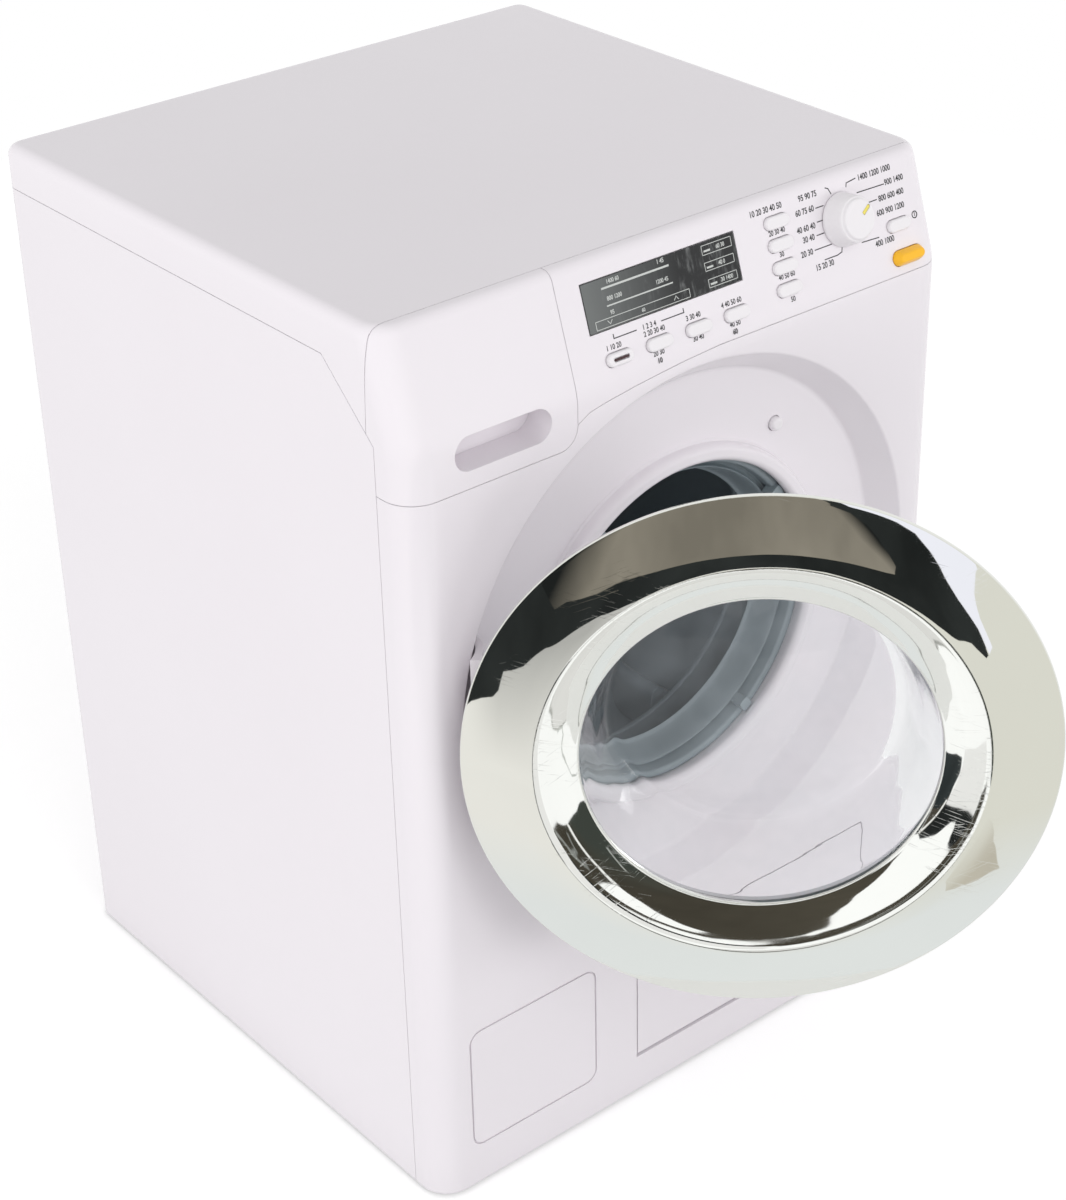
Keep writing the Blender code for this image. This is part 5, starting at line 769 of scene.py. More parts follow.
def door_button():
    place, under = on_plate(*DOOR_BUTTON_PLACE), -WALL - 2 * GAP
    slope = softened([(0, DOOR_SHOULDER - DOOR_FOOT), (0, DOOR_SHOULDER),
                      (DOOR_TAPER - DOOR_EDGE[0], DOOR_PROUD - DOOR_EDGE[1]), (DOOR_TAPER, DOOR_PROUD)])
    levels = flanged(DOOR_LONG, DOOR_TALL, under)
    levels += [(DOOR_LONG - inward, DOOR_TALL - inward, level) for inward, level in slope]
    piece = make("door_button_cap", pill_stack(levels), YELLOW, place)
    join(piece, rod(STEM_RADIUS, "Z", (0, 0), STEM_END, under - FLANGE / 2), place)
    finished(piece, "release", "yellow", "door_button")


def knob():
    place, face, bend = on_plate(*KNOB_PLACE), KNOB_HEIGHT, KNOB_ROUND
    skirt = softened([(KNOB_FACE * 0.8, face), (KNOB_FACE, face), (KNOB_FACE + bend / 3, face - bend),
                      (KNOB_FACE + bend, face - bend * 1.2), (KNOB_RADIUS - bend / 3, bend * 2), (KNOB_RADIUS, bend),
                      (KNOB_RADIUS, GAP)], 3)
    profile = [(0, face)] + skirt + [(KNOB_SHAFT, GAP), (KNOB_SHAFT, KNOB_END), (0, KNOB_END)]
    piece = make("knob_moulding", lathe(profile, "Z", (0, 0), KNOB_FACETS), KNOB_WHITE, place)
    spot = (POINTER_OFFSET * sin(POINTER_ANGLE), POINTER_OFFSET * cos(POINTER_ANGLE), 0)
    seat = place @ Matrix.Translation(spot) @ Matrix.Rotation(QUARTER - POINTER_ANGLE, 4, "Z")
    cut(piece, prism(pointer_outline(0), "Z", face - POINTER_DEPTH, face + OVER), seat)
    finished(piece, "knob", "white_plastic", "program_knob")
    insert = prism(pointer_outline(INSERT_GAP), "Z", face - POINTER_DEPTH + INSERT_UNDER, face - INSERT_SUNK)
    finished(make("knob_pointer_insert", insert, PALE_YELLOW, seat), "knob", "yellow", "knob_pointer")


def pointer_outline(margin):
    half, long = POINTER_WIDE / 2 - margin, POINTER_LONG / 2 - margin
    return [(-long, -half), (long, -half), (long + half, 0), (long, half), (-long, half)]


def display():
    x0, x1, s0, s1 = DISPLAY
    outline = rounded_box(x0 + GAP, x1 - GAP, -s1 + GAP, -s0 - GAP, PANE_ROUND, 3)
    piece = make("display_pane", prism(outline, "Z", -DISPLAY_DEPTH + GAP, SCREEN_LEVEL), GLASS, PLATE)
    finished(piece, "cabinet", "display", "display_window")


# Printed marks: thin closed strips and plain numbers

def strip(data, start, end, width, low=0):
    (a0, b0), (a1, b1) = start, end
    length = hypot(a1 - a0, b1 - b0)
    ua, ub = (a1 - a0) / length * width / 2, (b1 - b0) / length * width / 2
    corners = [(a0 - ua + ub, b0 - ub - ua), (a1 + ua + ub, b1 + ub - ua), (a1 + ua - ub, b1 + ub + ua),
               (a0 - ua - ub, b0 - ub + ua)]
    lower, upper = [[data.verts.new((a, b, level)) for a, b in corners] for level in (low, low + INK_HEIGHT)]
    data.faces.new(lower[::-1])
    data.faces.new(upper)
    for k in range(4):
        data.faces.new((lower[k], lower[(k + 1) % 4], upper[(k + 1) % 4], upper[k]))


def strips(data, line, width, low=0):
    """Strips along a line of (x, s) points in millimetres."""
    for (xa, sa), (xb, sb) in zip(line, line[1:]):
        strip(data, (xa * MM, -sa * MM), (xb * MM, -sb * MM), width, low)


def numeral(data, text, x, s, size, low, align):
    curve = bpy.data.curves.new("numeral", "FONT")
    curve.body, curve.size, curve.align_x, curve.align_y = text, size, align, "CENTER"
    curve.extrude, curve.offset = INK_HEIGHT / 2, size * INK_SPREAD
    item = shown(bpy.data.objects.new("numeral", curve))
    mesh = result_of(item)
    mesh.transform(Matrix.Translation((x, -s, low + INK_HEIGHT / 2)) @ Matrix.Diagonal((NARROW, 1, 1, 1)))
    data.from_mesh(mesh)
    drop(item)
    bpy.data.curves.remove(curve)
    bpy.data.meshes.remove(mesh)


MM = 0.001
INK_HEIGHT, INK_SPREAD, NARROW = 0.03 * MM, 0.02, 0.85
LINE_WIDTH, SYMBOL_WIDTH, SYMBOL, SYMBOL_RADIUS, SYMBOL_STEPS = 0.00028, 0.00026, (83.2, 17.7), 0.0009, 20
SMALL_SIZE, LARGE_SIZE = 0.0019, 0.0022
KNOB_LINES = (((60.7, 4.4), (61.0, 3.5), (64.4, 3.1)), ((64.2, 6.9), (74.1, 7.1)), ((67.7, 10.4), (70.6, 10.4)),
              ((62.7, 19.9), (68.9, 20.2)), ((55.0, 4.8), (54.3, 3.3), (53.4, 2.9)), ((48.9, 7.1), (51.6, 7.1)),
              ((48.5, 10.7), (50.3, 10.7)), ((47.5, 14.0), (50.0, 14.0)), ((45.9, 17.5), (51.9, 17.5)),
              ((48.7, 20.8), (53.3, 20.8), (55.0, 20.4), (55.4, 19.2)))
ROW_LINES = (((-24.4, 19.8), (-24.4, 20.8), (-17.1, 20.8)), ((-8.7, 20.8), (-1.2, 20.8), (-1.2, 19.8)))
RIGHT_NUMBERS = (("1400 1200 1000", 65.2, 3.3), ("900 1400", 74.4, 6.9), ("800 600 400", 71.3, 10.5),
                 ("600 900 1200", 69.7, 14.1), ("400 1000", 67.3, 21.8))
LEFT_NUMBERS = (("95 90 75", 50.1, 3.4), ("60 75 60", 48.2, 6.9), ("40 60 40", 47.6, 11.3), ("30 40", 46.6, 14.1),
                ("20 30", 45.1, 17.6), ("15 20 30", 51.6, 22.2))
MIDDLE_NUMBERS = (("10 20 30 40 50", 31.8, 3.2), ("20 30 40", 34.2, 9.5), ("30", 34.4, 15.5), ("40 50 60", 34.7, 21.2),
                  ("50", 35.3, 27.6), ("1 10 20", -25.0, 22.7), ("2 20 30 40", -11.6, 22.6), ("3 30 40", 1.5, 22.6),
                  ("4 40 50 60", 14.6, 22.7), ("20 30", -11.6, 28.2), ("10", -11.7, 30.2), ("30 40", 1.8, 28.2),
                  ("40 50", 14.5, 28.2), ("60", 14.1, 30.2), ("1 2 3 4", -12.8, 20.8))


def panel_print():
    data = bmesh.new()
    for line in KNOB_LINES + ROW_LINES:
        strips(data, line, LINE_WIDTH)
    x, s = SYMBOL
    for k in range(SYMBOL_STEPS):
        ends = [polar((x * MM, -s * MM), SYMBOL_RADIUS, 2 * pi * n / SYMBOL_STEPS) for n in (k, k + 1)]
        strip(data, *ends, SYMBOL_WIDTH)
    strips(data, ((x, 16.9), (x, 18.0)), SYMBOL_WIDTH)
    for numbers, align in ((RIGHT_NUMBERS, "LEFT"), (LEFT_NUMBERS, "RIGHT"), (MIDDLE_NUMBERS, "CENTER")):
        for text, x, s in numbers:
            small = s > 5 and align == "CENTER"
            numeral(data, text, x * MM, s * MM, SMALL_SIZE if small else LARGE_SIZE, 0, align)
    finished(make("panel_print", data, INK, PLATE), "cabinet", "dark_plastic")


BOXES = ((8.4, 18.4, 6.4, 8.8), (8.4, 18.3, 10.8, 12.9), (8.6, 18.3, 15.1, 17.2), (-29.0, 1.9, 15.5, 17.6))
BOX_WIDTH, ARROW_WIDTH = 0.00017, 0.00018
BARS = ((-24.9, -3.2, 8.1, 0.5), (-24.3, -2.9, 12.6, 0.35), (9.2, 10.9, 7.9, 0.5), (9.2, 10.9, 12.1, 0.5),
        (9.4, 11.1, 16.4, 0.5))
ARROWS = ((-25.2, 16.1), (-24.5, 17.0), (-23.8, 16.1)), ((-3.4, 17.0), (-2.7, 16.1), (-2.0, 17.0))
SCREEN_NUMBERS = (("60 30", 14.6, 7.7, 1.5), ("40 0", 14.1, 11.9, 1.5), ("30 1400", 14.8, 16.2, 1.5),
                  ("1400 60", -21.2, 6.8, 1.5), ("1 45", -5.4, 6.4, 1.6), ("800 1200", -21.6, 10.9, 1.5),
                  ("95", -23.2, 14.4, 1.5), ("1200 45", -6.0, 11.2, 1.5), ("60", -13.6, 16.6, 1.3))


def display_print():
    data = bmesh.new()
    for x0, x1, s0, s1 in BOXES:
        strips(data, ((x0, s0), (x1, s0), (x1, s1), (x0, s1), (x0, s0)), BOX_WIDTH, SCREEN_LEVEL)
    for x0, x1, s, width in BARS:
        strips(data, ((x0, s), (x1, s)), width * MM, SCREEN_LEVEL)
    for line in ARROWS:
        strips(data, line, ARROW_WIDTH, SCREEN_LEVEL)
    for text, x, s, size in SCREEN_NUMBERS:
        numeral(data, text, x * MM, s * MM, size * MM, SCREEN_LEVEL, "CENTER")
    finished(make("display_print", data, LIGHT_INK, PLATE), "cabinet", "display")


# Door

def turned(profile, facets=RECESS_FACETS):
    """Turn a profile of (radius, rise) points round the axis of the door."""
    return lathe([(radius, -RIM_PLANE - rise) for radius, rise in profile], "Y", (ARM_LENGTH, 0), facets)


def tilted_line(table):
    """Follow a surface whose tilt in degrees is given at some radii."""
    points, rise = [(table[0][0], CREST_RISE)], CREST_RISE
    for (r0, t0), (r1, t1) in zip(table, table[1:]):
        for k in range(RING_STEPS):
            share = (k + 0.5) / RING_STEPS
            tilt = radians(t0 + (t1 - t0) * share * share * (3 - 2 * share))
            rise -= abs(r1 - r0) / RING_STEPS * tan(tilt)
            points.append((r0 + (r1 - r0) * (k + 1) / RING_STEPS, rise))
    return points


def ring_profile():
    """Rolled lip, crown, cone down to the glass, rolled inner edge and back."""
    crown = tilted_line(CROWN_TILTS)[::-1]
    tilt = radians(CROWN_TILTS[-1][1])
    roll = (RING_RADIUS - crown[0][0]) / (1 - sin(tilt))
    centre = crown[0][1] - roll * cos(tilt)
    lip = arc(RING_RADIUS - roll, centre, roll, 0, QUARTER - tilt, RING_STEPS)[:-1]
    cone = tilted_line(CONE_TILTS)[1:]
    last_radius, last_rise = cone[-1]
    edge = last_radius - GLASS_RADIUS
    roll_in = [(last_radius - edge * sin(t), last_rise - edge * (1 - cos(t)) - edge * ROLL_DROP * sin(t))
               for t in turns(0, QUARTER, 6)[1:]]
    back = [(GLASS_RADIUS, BEHIND_GLASS), CREST_BACK, EDGE_BACK, (RING_RADIUS - RING_SOFT, -LIP_DROP),
            (RING_RADIUS, centre - RING_SOFT)]
    return lip + crown + cone + roll_in + back


def behind_ring(radius):
    (r0, h0), (r1, h1) = CREST_BACK, EDGE_BACK
    return h0 + (h1 - h0) * (radius - r0) / (r1 - r0)


def door_ring():
    finished(make("door_ring_plated", turned(ring_profile(), RING_FACETS), CHROME, DOOR), "door", "chrome", "door_ring")


def door_frame():
    """Rim, web and bowl seat in one moulding with the curved hinge arm and the pad for the switch pin."""
    rim_in, soft = FRAME_RADIUS - FRAME_WALL, FRAME_SOFT
    seat = BEHIND_GLASS - 2 * GAP - BOWL_FLANGE
    ledge, web = seat - LEDGE, -WEB_DROP - FRAME_WEB
    profile = [(radius, behind_ring(radius) - GAP) for radius in (FRAME_RADIUS, rim_in)]
    profile += [(rim_in, -WEB_DROP), (SEAT_RADIUS, -WEB_DROP), (SEAT_RADIUS, seat), (FRAME_INNER, seat),
                (FRAME_INNER, ledge), (LEDGE_RADIUS, ledge), (LEDGE_RADIUS, web), (rim_in, web),
                (rim_in, FRAME_BACK + soft), (rim_in + soft, FRAME_BACK), (FRAME_RADIUS - soft, FRAME_BACK),
                (FRAME_RADIUS, FRAME_BACK + soft)]
    piece = make("door_frame_moulding", turned(profile), WHITE, DOOR)
    inner, outer = ARM_CURVE, ARM_CURVE + ARM_WALL
    spread, near, far = [asin(ARM_WALL / 2 / radius) for radius in (BARREL_RADIUS, inner, outer)]
    low = inner * sin(END_ANGLE - near)
    arm = (arc(0, 0, BARREL_RADIUS, WEB_ANGLE + spread, WEB_ANGLE + 2 * pi - spread, BARREL_STEPS)
           + arc(0, 0, inner, WEB_ANGLE - near, END_ANGLE - near, ARM_STEPS)
           + [(ARM_TAIL, low), (ARM_TAIL, low + ARM_WALL)]
           + arc(0, 0, outer, asin((low + ARM_WALL) / outer), WEB_ANGLE + far, ARM_STEPS))
    join(piece, prism(arm, "Z", -ARM_HALF, ARM_HALF), DOOR)
    cut(piece, rod(PIN_RADIUS + RUN_GAP, "Z", (0, 0), -ARM_HALF - OVER, ARM_HALF + OVER), DOOR)
    spot = polar((ARM_LENGTH, 0), SWITCH_RADIUS, SWITCH_ANGLE)
    join(piece, rod(PAD_RADIUS, "Y", spot, -RIM_PLANE - web - FRAME_WEB / 2, -PAD_END), DOOR)
    finished(piece, "door", "white_plastic", "door_frame")


def door_bowl():
    """Clear bowl, whose wall grows to its full thickness with the depth."""
    front, rim = BEHIND_GLASS - GAP, SEAT_RADIUS - GAP
    hollow = softened([(BOWL_MOUTH * r, front - BOWL_DEPTH * d) for r, d in BOWL_SHARES])
    outside = [(r + BOWL_WALL if r > 0 else 0, h - BOWL_WALL * min(max((front - h) / BOWL_DEPTH, 0), 1))
               for r, h in reversed(hollow)]
    outside[-1] = (BOWL_MOUTH + BOWL_WALL, front - BOWL_FLANGE)
    profile = [(rim, front), (BOWL_MOUTH + BOWL_WALL / 2, front)] + hollow + outside + [(rim, front - BOWL_FLANGE)]
    finished(make("door_bowl_clear", turned(profile), CLEAR, DOOR), "door", "clear", "door_bowl")


# Throat seal, drum and lifters

def round_throat(level, angle):
    return Matrix.Translation((CENTRE[0], level, CENTRE[1])) @ Matrix.Rotation(-angle, 4, "Y")


def seal():
    """Lip, stepped waist, sleeve to the tub and flange, with small lugs at the lip."""
    seat = FLOOR_BACK + GAP
    lip, wall = seat - SEAL_PROUD, SEAL_WALL
    outer, inner, waist = SEAL_LIP + wall, SEAL_SLEEVE - wall, lip + SEAL_CONE
    end = TUB_FRONT + SEAL_REACH
    roll, steps = [[(SEAL_LIP - a, lip + b) for a, b in table] for table in (SEAL_ROLL, SEAL_STEPS)]
    profile = [(SEAL_FLANGE, seat)]
    profile += softened([(outer, seat), (outer, lip + wall / 3), (SEAL_LIP + wall / 2, lip),
                         (SEAL_LIP - wall / 3, lip + wall / 3)] + roll)
    profile += softened(steps + [(SEAL_WAIST + SEAL_SOFT, waist - SEAL_SOFT), (SEAL_WAIST, waist)])
    profile += [(SEAL_WAIST + wall, waist + wall / 2), (SEAL_LIP - SEAL_BACK[0], lip + SEAL_BACK[1]),
                (outer, seat + wall * 1.5), (inner, seat + wall * 2), (inner, end), (SEAL_SLEEVE, end),
                (SEAL_SLEEVE, seat + wall), (SEAL_FLANGE, seat + wall)]
    piece = make("throat_seal", lathe(profile), SEAL)
    middle, half = SEAL_LIP - LUG_DEPTH / 4, LUG_WIDTH / 2
    for k in range(LUGS):
        lug = pad((middle - LUG_DEPTH / 2, middle + LUG_DEPTH / 2, -half, half), LUG_ROUND, -LUG_LENGTH / 4,
                  LUG_LENGTH * 3 / 4, 6)
        join(piece, lug, round_throat(lip, LUG_ANGLE + 2 * pi * k / LUGS))
    finished(piece, "cabinet", "grey_rubber", "door_gasket")


def drum():
    """Open drum with a rolled lip, grooves and a dome on its back wall, and a bored hub."""
    outer, inside, wall = DRUM_RADIUS + DRUM_WALL, DRUM_BACK - DRUM_WALL, DRUM_WALL
    behind = DRUM_FRONT + wall
    lip = softened([(DRUM_LIP + DRUM_SOFT, DRUM_FRONT), (DRUM_LIP, DRUM_FRONT), (DRUM_LIP, behind),
                    (DRUM_LIP + DRUM_SOFT, behind)])
    corner = softened([(DRUM_RADIUS, inside - DRUM_CORNER), (DRUM_RADIUS, inside),
                       (DRUM_RADIUS - DRUM_CORNER, inside)], 3)
    grooves = [(radius + a, inside - b) for radius in GROOVE_RADII for a, b in GROOVE_SHAPE]
    dome = softened([(DOME_RADIUS + DRUM_SOFT, inside), (DOME_RADIUS, inside),
                     (DOME_RADIUS * 0.75, inside - DOME_RISE * 0.75), (DOME_RADIUS * 0.4, inside - DOME_RISE),
                     (0, inside - DOME_RISE)], 3)
    profile = lip + [(DRUM_RADIUS - wall, behind), (DRUM_RADIUS, DRUM_FRONT + wall * 2)] + corner + grooves + dome
    profile += [(0, inside), (DRUM_BORE, inside), (DRUM_BORE, DRUM_HUB_END), (DRUM_HUB, DRUM_HUB_END),
                (DRUM_HUB, DRUM_BACK), (outer - wall, DRUM_BACK), (outer, DRUM_BACK - wall), (outer, behind),
                (outer - wall, DRUM_FRONT)]
    finished(make("drum_moulding", lathe(profile), DRUM), "drum", "grey_plastic", "drum")


def lifters():
    radius = DRUM_RADIUS - 2 * GAP
    spread = asin(LIFTER_BASE / radius)
    foot = radius * cos(spread)
    side = [(foot - LIFTER_HEIGHT * a, -LIFTER_BASE * b) for a, b in LIFTER_SHARES]
    outline = arc(0, 0, radius, spread, -spread, 12)[1:-1] + softened(side + [(r, -t) for r, t in reversed(side)])
    room = DRUM_WALL * 2 + LIFTER_ROOM
    for k in range(LIFTERS):
        data = prism(outline, "Y", DRUM_FRONT + room, DRUM_BACK - room)
        piece = make("lifter_%d" % (k + 1), data, DRUM, round_throat(0, LIFTER_ANGLE + 2 * pi * k / LIFTERS))
        finished(bevelled(piece, LIFTER_EDGE), "drum", "grey_plastic", "drum_lifter_%d" % (k + 1))


def switch_pin():
    tip, collar = FLOOR_Y - PIN_PROUD, FLOOR_BACK + PIN_COLLAR_BEHIND
    end = collar + PIN_COLLAR_WALL
    profile = softened([(0, tip), (PIN_STEM - PIN_SOFT, tip), (PIN_STEM, tip + PIN_SOFT),
                        (PIN_STEM, tip + PIN_DOME)], 3)
    profile += [(PIN_STEM, collar), (PIN_COLLAR, collar), (PIN_COLLAR, end), (0, end)]
    piece = make("switch_pin_round", lathe(profile, "Y", SWITCH_SPOT, ROD_FACETS), KNOB_WHITE)
    finished(piece, "switch", "white_plastic", "switch_pin")


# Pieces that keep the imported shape
KEPT = ((WHITE, "drawer_tray drawer_housing latch_hook latch_slider base_plate battery_cover"),
        (STEEL, "hinge_pin drum_bearing drum_shaft motor"), (NATURAL, "drum_gear motor_pinion"),
        (DARK, "door_switch tub_front tub motor_bracket speaker"), (BOARD, "circuit_board"))

body = make("body", body_form(0, 0))
cut(body, body_form(WALL, -OVER))
for build in (side_shell, top_cover, front_panel, control_panel, drawer_front):
    build(body)
drop(body)
for build in (service_flap, buttons, door_button, knob, display, panel_print, display_print, door_ring, door_frame,
              door_bowl, seal, drum, lifters, switch_pin):
    build()
for look, nodes in KEPT:
    for node in nodes.split():
        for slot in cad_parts[node].material_slots:
            slot.material = look


# Floor, glowing cards that paint reflections into the chrome ring, lights and world

def reflection_card(name, faces, distance, layer, colour, mottle=1.0, fades=()):
    """A glowing card in front of the open door, seen only in polished faces. Its shapes and colours are painted
    reflections for the chrome ring; it is no lamp.

    Each fade turns it to another colour from start to end along the direction (across, up)."""
    look, tree = bare_look(name)
    place = add(tree, "SeparateXYZ", {0: coordinates(tree)}).outputs
    cloud = patches(tree, 0.35, 0.65, 26.0, 4.0, 0.6, (1.0, 1.0, 0.35))
    tone = blended(tree, cloud, colour, tuple(c * mottle for c in colour))
    for across, up, start, end, other in fades:
        along = add(tree, "Math", {0: place["X"], 1: across, 2: times(tree, place["Z"], up)}, operation="MULTIPLY_ADD")
        tone = blended(tree, ranged(tree, along.outputs[0], start, end), tone, other)
    sent_out(tree, add(tree, "Emission", {"Color": tone}).outputs[0])
    data = bmesh.new()
    for face in faces:
        data.faces.new([data.verts.new((across, layer * LAYER - distance, up)) for across, up in face])
    item = make(name, data, look, CARD_PLACE)
    item.visible_camera = item.visible_diffuse = item.visible_shadow = item.visible_transmission = False


def between(first, second):
    """Faces between two lines."""
    return [(first[k], first[k + 1], second[k + 1], second[k]) for k in range(len(first) - 1)]


def band(centre, inner, outer, start, end, steps):
    """Faces of a flat ring or part of one, between two angles in degrees."""
    return between(*[arc(*centre, radius, radians(start), radians(end), steps) for radius in (inner, outer)])


def drawn(*outlines):
    """Faces from outlines in millimetres."""
    return [[(a * MM, b * MM) for a, b in outline] for outline in outlines]


def drawn_lines(width, *lines):
    """Faces of thin bands along lines in millimetres."""
    faces = []
    for line in drawn(*lines):
        faces += between(offset_line(line, width / 2), offset_line(line, -width / 2))
    return faces


CARD_PLACE = DOOR @ Matrix.Translation((ARM_LENGTH, -RIM_PLANE, -CENTRE[1]))
# Colours of the painted reflections on the cards: pale sheet, black and dusky bands, warm and tan patches, glare and
# grey shade
CREAM, CREAM_RIGHT, CREAM_LOW = (1.0, 0.98, 0.954), (0.862, 0.852, 0.79), (0.917, 0.943, 0.964)
BLACK, WARM, BRIGHT, GREY = (0.016, 0.018, 0.018), (0.345, 0.312, 0.262), (1.07, 1.07, 1.2), (0.508, 0.502, 0.494)
DUSK, PURE, TAN = (0.099, 0.088, 0.069), (1.23, 1.23, 1.25), (0.6, 0.56, 0.485)
EYE, EYE_RADIUS, SHEET_RADIUS, CREST_WIDTH = (0.003, 0.1158), 0.0575, 0.15, 0.002
NEAR, FAR, LAYER = 0.045, 0.1, 0.0002

# Outlines of the cards in millimetres, across and up: painted reflections, dark bands, glare, glints and streaks for
# the chrome ring
NIGHT_EDGE = [(72, 164), (69.5, 170), (66, 176), (63, 181), (60, 187), (57, 193), (53.5, 199), (49, 205), (43, 209),
              (36, 212.5), (28, 215.5), (24, 222)]
NIGHT = ([(-94.5, 140), (-90, 142.5), (-85.5, 144), (-83.5, 147), (-82.5, 151), (-81.5, 154.5), (-77.5, 156),
         (-74, 157.5), (-70, 161.5), (-66, 165), (-60, 166.5), (-54, 169), (-48, 171), (-44, 173), (-40, 172),
         (-36, 170.5), (-31, 170.2), (-26, 172), (-20, 174.8), (-14, 177.5), (-8, 179.3), (0, 179.5), (10, 179.5),
         (18, 178.5), (24, 176.5), (30, 173.5), (36, 170.5), (42, 167.2), (48, 164), (54, 162.5), (60, 163),
         (64, 163.2), (66, 161.5), (71, 158.5), (73, 160)] + NIGHT_EDGE + [(-30, 234), (-72, 214), (-98, 184),
         (-108, 152), (-104, 137)])
SAND = [(-64, 179.5), (-60, 182.5), (-55, 183.5), (-50, 185), (-45, 188), (-41, 190.5), (-36, 191.5), (-28, 192.5),
        (-18, 193.5), (-8, 194), (2, 194.5), (12, 194), (22, 193), (30, 192), (38, 191), (41.5, 191), (42, 194),
        (40, 199), (37, 204), (33, 209), (28, 213), (22, 215.5), (18, 226), (-30, 234), (-65, 214), (-72, 203),
        (-70, 190)]
GLARE = ([(73.5, 160.5)] + NIGHT_EDGE + [(45, 224), (60, 216), (74, 202), (69, 190), (68.5, 183), (70.5, 174),
         (74.5, 163)])
SHADE = [(-100, 150), (-83, 166), (-31, 176), (-29, 164), (-40, 155), (-49, 142), (-54, 126), (-54, 112), (-100, 112)]
SPILL = [(66, 104), (76, 93), (81, 86), (85, 76), (88, 68), (90.5, 61), (82, 58), (72, 58), (64, 64), (60, 74),
         (60, 86), (62, 96)]
OPEN = [(-160, -2), (160, -2), (160, 160), (-160, 160)]
HEEL = [(-42, 55), (-50, 50), (-60, 46), (-72, 40), (-80, 34)]
WING = [(0, 89.5), (-6, 91), (-10, 90.5), (-14, 87.5), (-18, 88.5), (-22, 91), (-26, 96), (-30, 100)]
DOME = (HEEL + [(-76, 58), (-66, 80), (-56, 100), (-46, 116), (-32, 132), (-15, 144), (7, 149), (28, 144), (44, 134),
        (58, 120), (70, 104), (84, 86), (90, 71), (78, 72), (70, 74.5), (60, 78), (50, 80), (40, 81), (34, 81.5),
        (20, 79), (7, 79), (6.5, 82.5), (-5, 82.8), (-20, 83.5), (-38, 84), (-40, 74), (-40, 64)])
LEFT_PANEL = ([(-44, 105), (-40, 112), (-32, 118), (-22, 119.5), (-12, 119.5), (-6, 117), (-2, 112), (2, 104),
              (5, 98), (5.5, 92), (5, 88)] + WING + [(-36, 104)])
RIGHT_PANEL = [(6.5, 97), (8, 103), (12, 105), (17, 104), (21, 101), (20, 98), (16, 94.5), (12, 91.5), (8.5, 89)]
BAT = ([(6.5, 82.5), (4, 87)] + WING + [(-36, 104), (-42, 106), (-41, 98), (-38.5, 90), (-38, 84), (-20, 83.5),
       (-5, 82.8)])
TAIL = [(-40, 80), (-40, 64)] + HEEL + [(-76, 56), (-66, 76), (-58, 90), (-46, 88)]
STREAK = [(-44, 105), (-43, 97), (-40.5, 90), (-39.5, 82)]
ARCH = [(21, 100.5), (26, 97), (30, 90), (34, 82)]
GLINTS = [(9, 80), (14, 86), (22, 88), (28, 84)], [(10, 84), (16, 90), (21, 91)], [(38, 113), (46, 110), (55, 105)]
FAN_LEFT, FAN_RIGHT = [(9, 55), (-6, 20), (-20, -2)], [(30, 42), (44, 35), (56, 28), (72, 12)]
LOOP = [(56, 29), (60, 24), (70, 15), (78, 15), (74, 27), (76, 40), (86, 48), (98, 44)]
LIP = [(-38, 52), (-20, 60), (6, 70), (6.5, 82), (-20, 83.5), (-38, 84), (-39.5, 66)]

# Each card paints part of the chrome ring's reflection: pale sheet, grey shade, tan spill, black bands, glare, glints
# and streaks
reflection_card("card_sheet", band(EYE, EYE_RADIUS, SHEET_RADIUS, 0, 360, 72), NEAR, 0, CREAM, 0.985,
     ((1, 0, -0.03, 0.06, CREAM_RIGHT), (0, -1, -0.09, -0.045, CREAM_LOW)))
reflection_card("card_shade", drawn(SHADE), NEAR, 1, GREY, 1.08,
     ((0, -1, -0.165, -0.116, CREAM), (-1, 0, 0.084, 0.096, CREAM), (1, 0, -0.046, -0.034, (0.66, 0.65, 0.64))))
reflection_card("card_spill", drawn(SPILL), NEAR, 1, TAN, 1.1, ((-0.8, 0.6, -0.024, 0.003, CREAM_RIGHT),))
reflection_card("card_night", drawn(NIGHT), NEAR, 2, BLACK, 2.2)
reflection_card("card_sand", drawn(SAND), NEAR, 3, WARM, 0.66,
     ((0.78, 0.62, 0.1512, 0.155, BLACK), (-0.928, 0.371, 0.117, 0.129, BLACK)))
reflection_card("card_glare", drawn(GLARE), NEAR, 3, BRIGHT, 1.0)
reflection_card("card_crest", band(EYE, EYE_RADIUS, EYE_RADIUS + CREST_WIDTH, 200, 340, 40), NEAR, 1, (0.2, 0.2, 0.19), 1.4)
reflection_card("card_open", drawn(OPEN), FAR, 0, PURE, 0.97)
reflection_card("card_lip", drawn(LIP), FAR, 1, (1.02, 1.01, 1.02), 0.98)
reflection_card("card_fan", drawn(FAN_LEFT + [(84, -2)] + FAN_RIGHT[::-1]), FAR, 1, (0.854, 0.843, 0.843), 1.06)
reflection_card("card_fan_edges", drawn_lines(0.0013, FAN_LEFT, FAN_LEFT[:1] + FAN_RIGHT + [(82, 0)]), FAR, 2,
     (0.3, 0.3, 0.29), 1.8)
reflection_card("card_loop", drawn_lines(0.0022, LOOP), FAR, 2, (0.45, 0.46, 0.45), 1.6)
reflection_card("card_dome", drawn(DOME), FAR, 3, DUSK, 0.62, ((1, 0, 0.026, 0.046, (0.058, 0.066, 0.058)),))
reflection_card("card_tail", drawn(TAIL), FAR, 4, (0.03, 0.036, 0.038), 1.6)
reflection_card("card_bat", drawn(BAT), FAR, 5, BLACK, 1.8)
reflection_card("card_left_panel", drawn(LEFT_PANEL), FAR, 6, PURE)
reflection_card("card_right_panel", drawn(RIGHT_PANEL), FAR, 6, PURE)
reflection_card("card_streaks", drawn_lines(0.0026, STREAK, ARCH), FAR, 7, (1.05, 1.05, 1.05))
reflection_card("card_glints", drawn_lines(0.0016, *GLINTS), FAR, 7, (0.62, 0.64, 0.62), 0.4)


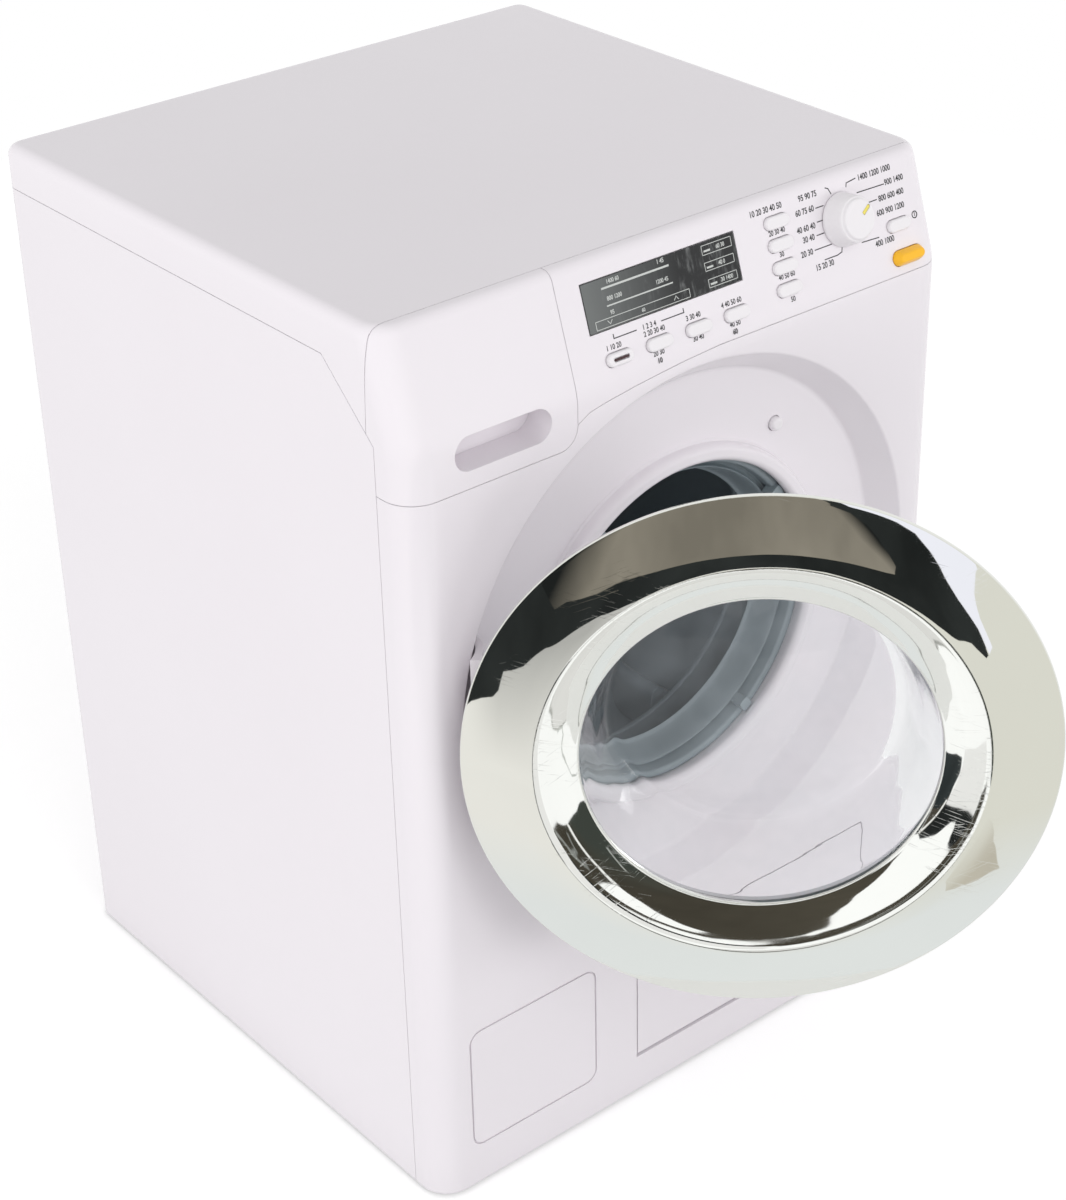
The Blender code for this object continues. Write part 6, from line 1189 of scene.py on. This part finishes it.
# Floor: matt, white where the camera sees it, duller for the light that it throws back on the toy
STAGE_RADIUS, STAGE_TOP, STAGE_LOW, STAGE_FACETS = 0.75, -0.001, -0.006, 96
floor_look, tree = bare_look("floor_white")
tone = blended(tree, noise(tree, 40.0), (0.88, 0.88, 0.88), (0.9, 0.9, 0.9))
lit = add(tree, "AddShader", {0: add(tree, "BsdfDiffuse", {"Color": tone}).outputs[0],
                              1: add(tree, "Emission", {"Strength": 0.33}).outputs[0]}).outputs[0]
path = add(tree, "LightPath")
dim = mixed(tree, times(tree, path.outputs["Is Glossy Ray"], 0.12), lit, diffuse(tree, (0.0, 0.0, 0.0)))
sent_out(tree, mixed(tree, seen_share(tree, path), diffuse(tree, (0.54, 0.54, 0.54)), dim))
make("floor", rod(STAGE_RADIUS, "Z", (0, 0), STAGE_LOW, STAGE_TOP, STAGE_FACETS), floor_look)

world = bpy.data.worlds.new("studio")
bpy.context.scene.world = world
world.use_nodes = True
tree = world.node_tree
seen = seen_share(tree, add(tree, "LightPath"))
tree.links.new(blended(tree, seen, (0.68, 0.68, 0.68), (1.0, 1.0, 1.0)), tree.nodes["Background"].inputs["Color"])

# Lamps: name, place, power and size
LAMP_AIM, WIDE_LAMP = Vector((0, 0, 0.14)), (1.4, 0.35)
LAMPS = (("lamp_side", (-1.8, 0.1, 0.15), 11.0, WIDE_LAMP), ("lamp_front", (0.9, -1.6, 0.15), 6.7, WIDE_LAMP),
         ("lamp_corner", (-1.1, -1.45, 0.15), 2.9, WIDE_LAMP), ("lamp_high", (-0.35, -1.6, 1.2), 5.2, (1.1, 1.1)),
         ("lamp_right", (1.9, 0.4, 0.15), 5.0, WIDE_LAMP), ("lamp_back", (0.1, 1.9, 0.15), 5.0, WIDE_LAMP))
for name, place, power, (width, height) in LAMPS:
    lamp = bpy.data.lights.new(name, "AREA")
    lamp.shape, lamp.size, lamp.size_y, lamp.energy = "RECTANGLE", width, height, power
    item = shown(bpy.data.objects.new(name, lamp))
    item.location = place
    item.rotation_euler = (LAMP_AIM - Vector(place)).to_track_quat("-Z", "Y").to_euler()
    item.visible_glossy = item.visible_camera = False


# Camera

VIEW_ANGLES, VIEW_PLACE = (-38.881, 30.251, -1.4216), (-0.40901, -0.52982, 0.50824)
VIEW_LENS, VIEW_SENSOR, VIEW_CLIP = 78.293, 36, 0.01


def camera_matrix(angles, place):
    """From azimuth, elevation and roll in degrees, and the camera's place."""
    az, el, turn = [radians(angle) for angle in angles]
    back = Vector((sin(az) * cos(el), -cos(az) * cos(el), sin(el)))
    right = Vector((0, 0, 1)).cross(back).normalized()
    up = back.cross(right)
    side, top = cos(turn) * right + sin(turn) * up, cos(turn) * up - sin(turn) * right
    matrix = Matrix((side, top, back)).transposed().to_4x4()
    matrix.translation = place
    return matrix


camera = bpy.data.cameras.new("camera")
camera.sensor_fit, camera.sensor_width, camera.sensor_height = "VERTICAL", VIEW_SENSOR, VIEW_SENSOR
camera.lens, camera.clip_start = VIEW_LENS, VIEW_CLIP
view = shown(bpy.data.objects.new("camera", camera))
view.matrix_world = camera_matrix(VIEW_ANGLES, VIEW_PLACE)
bpy.context.scene.camera = view
bpy.context.scene.view_settings.view_transform = "Standard"

bpy.context.view_layer.update()
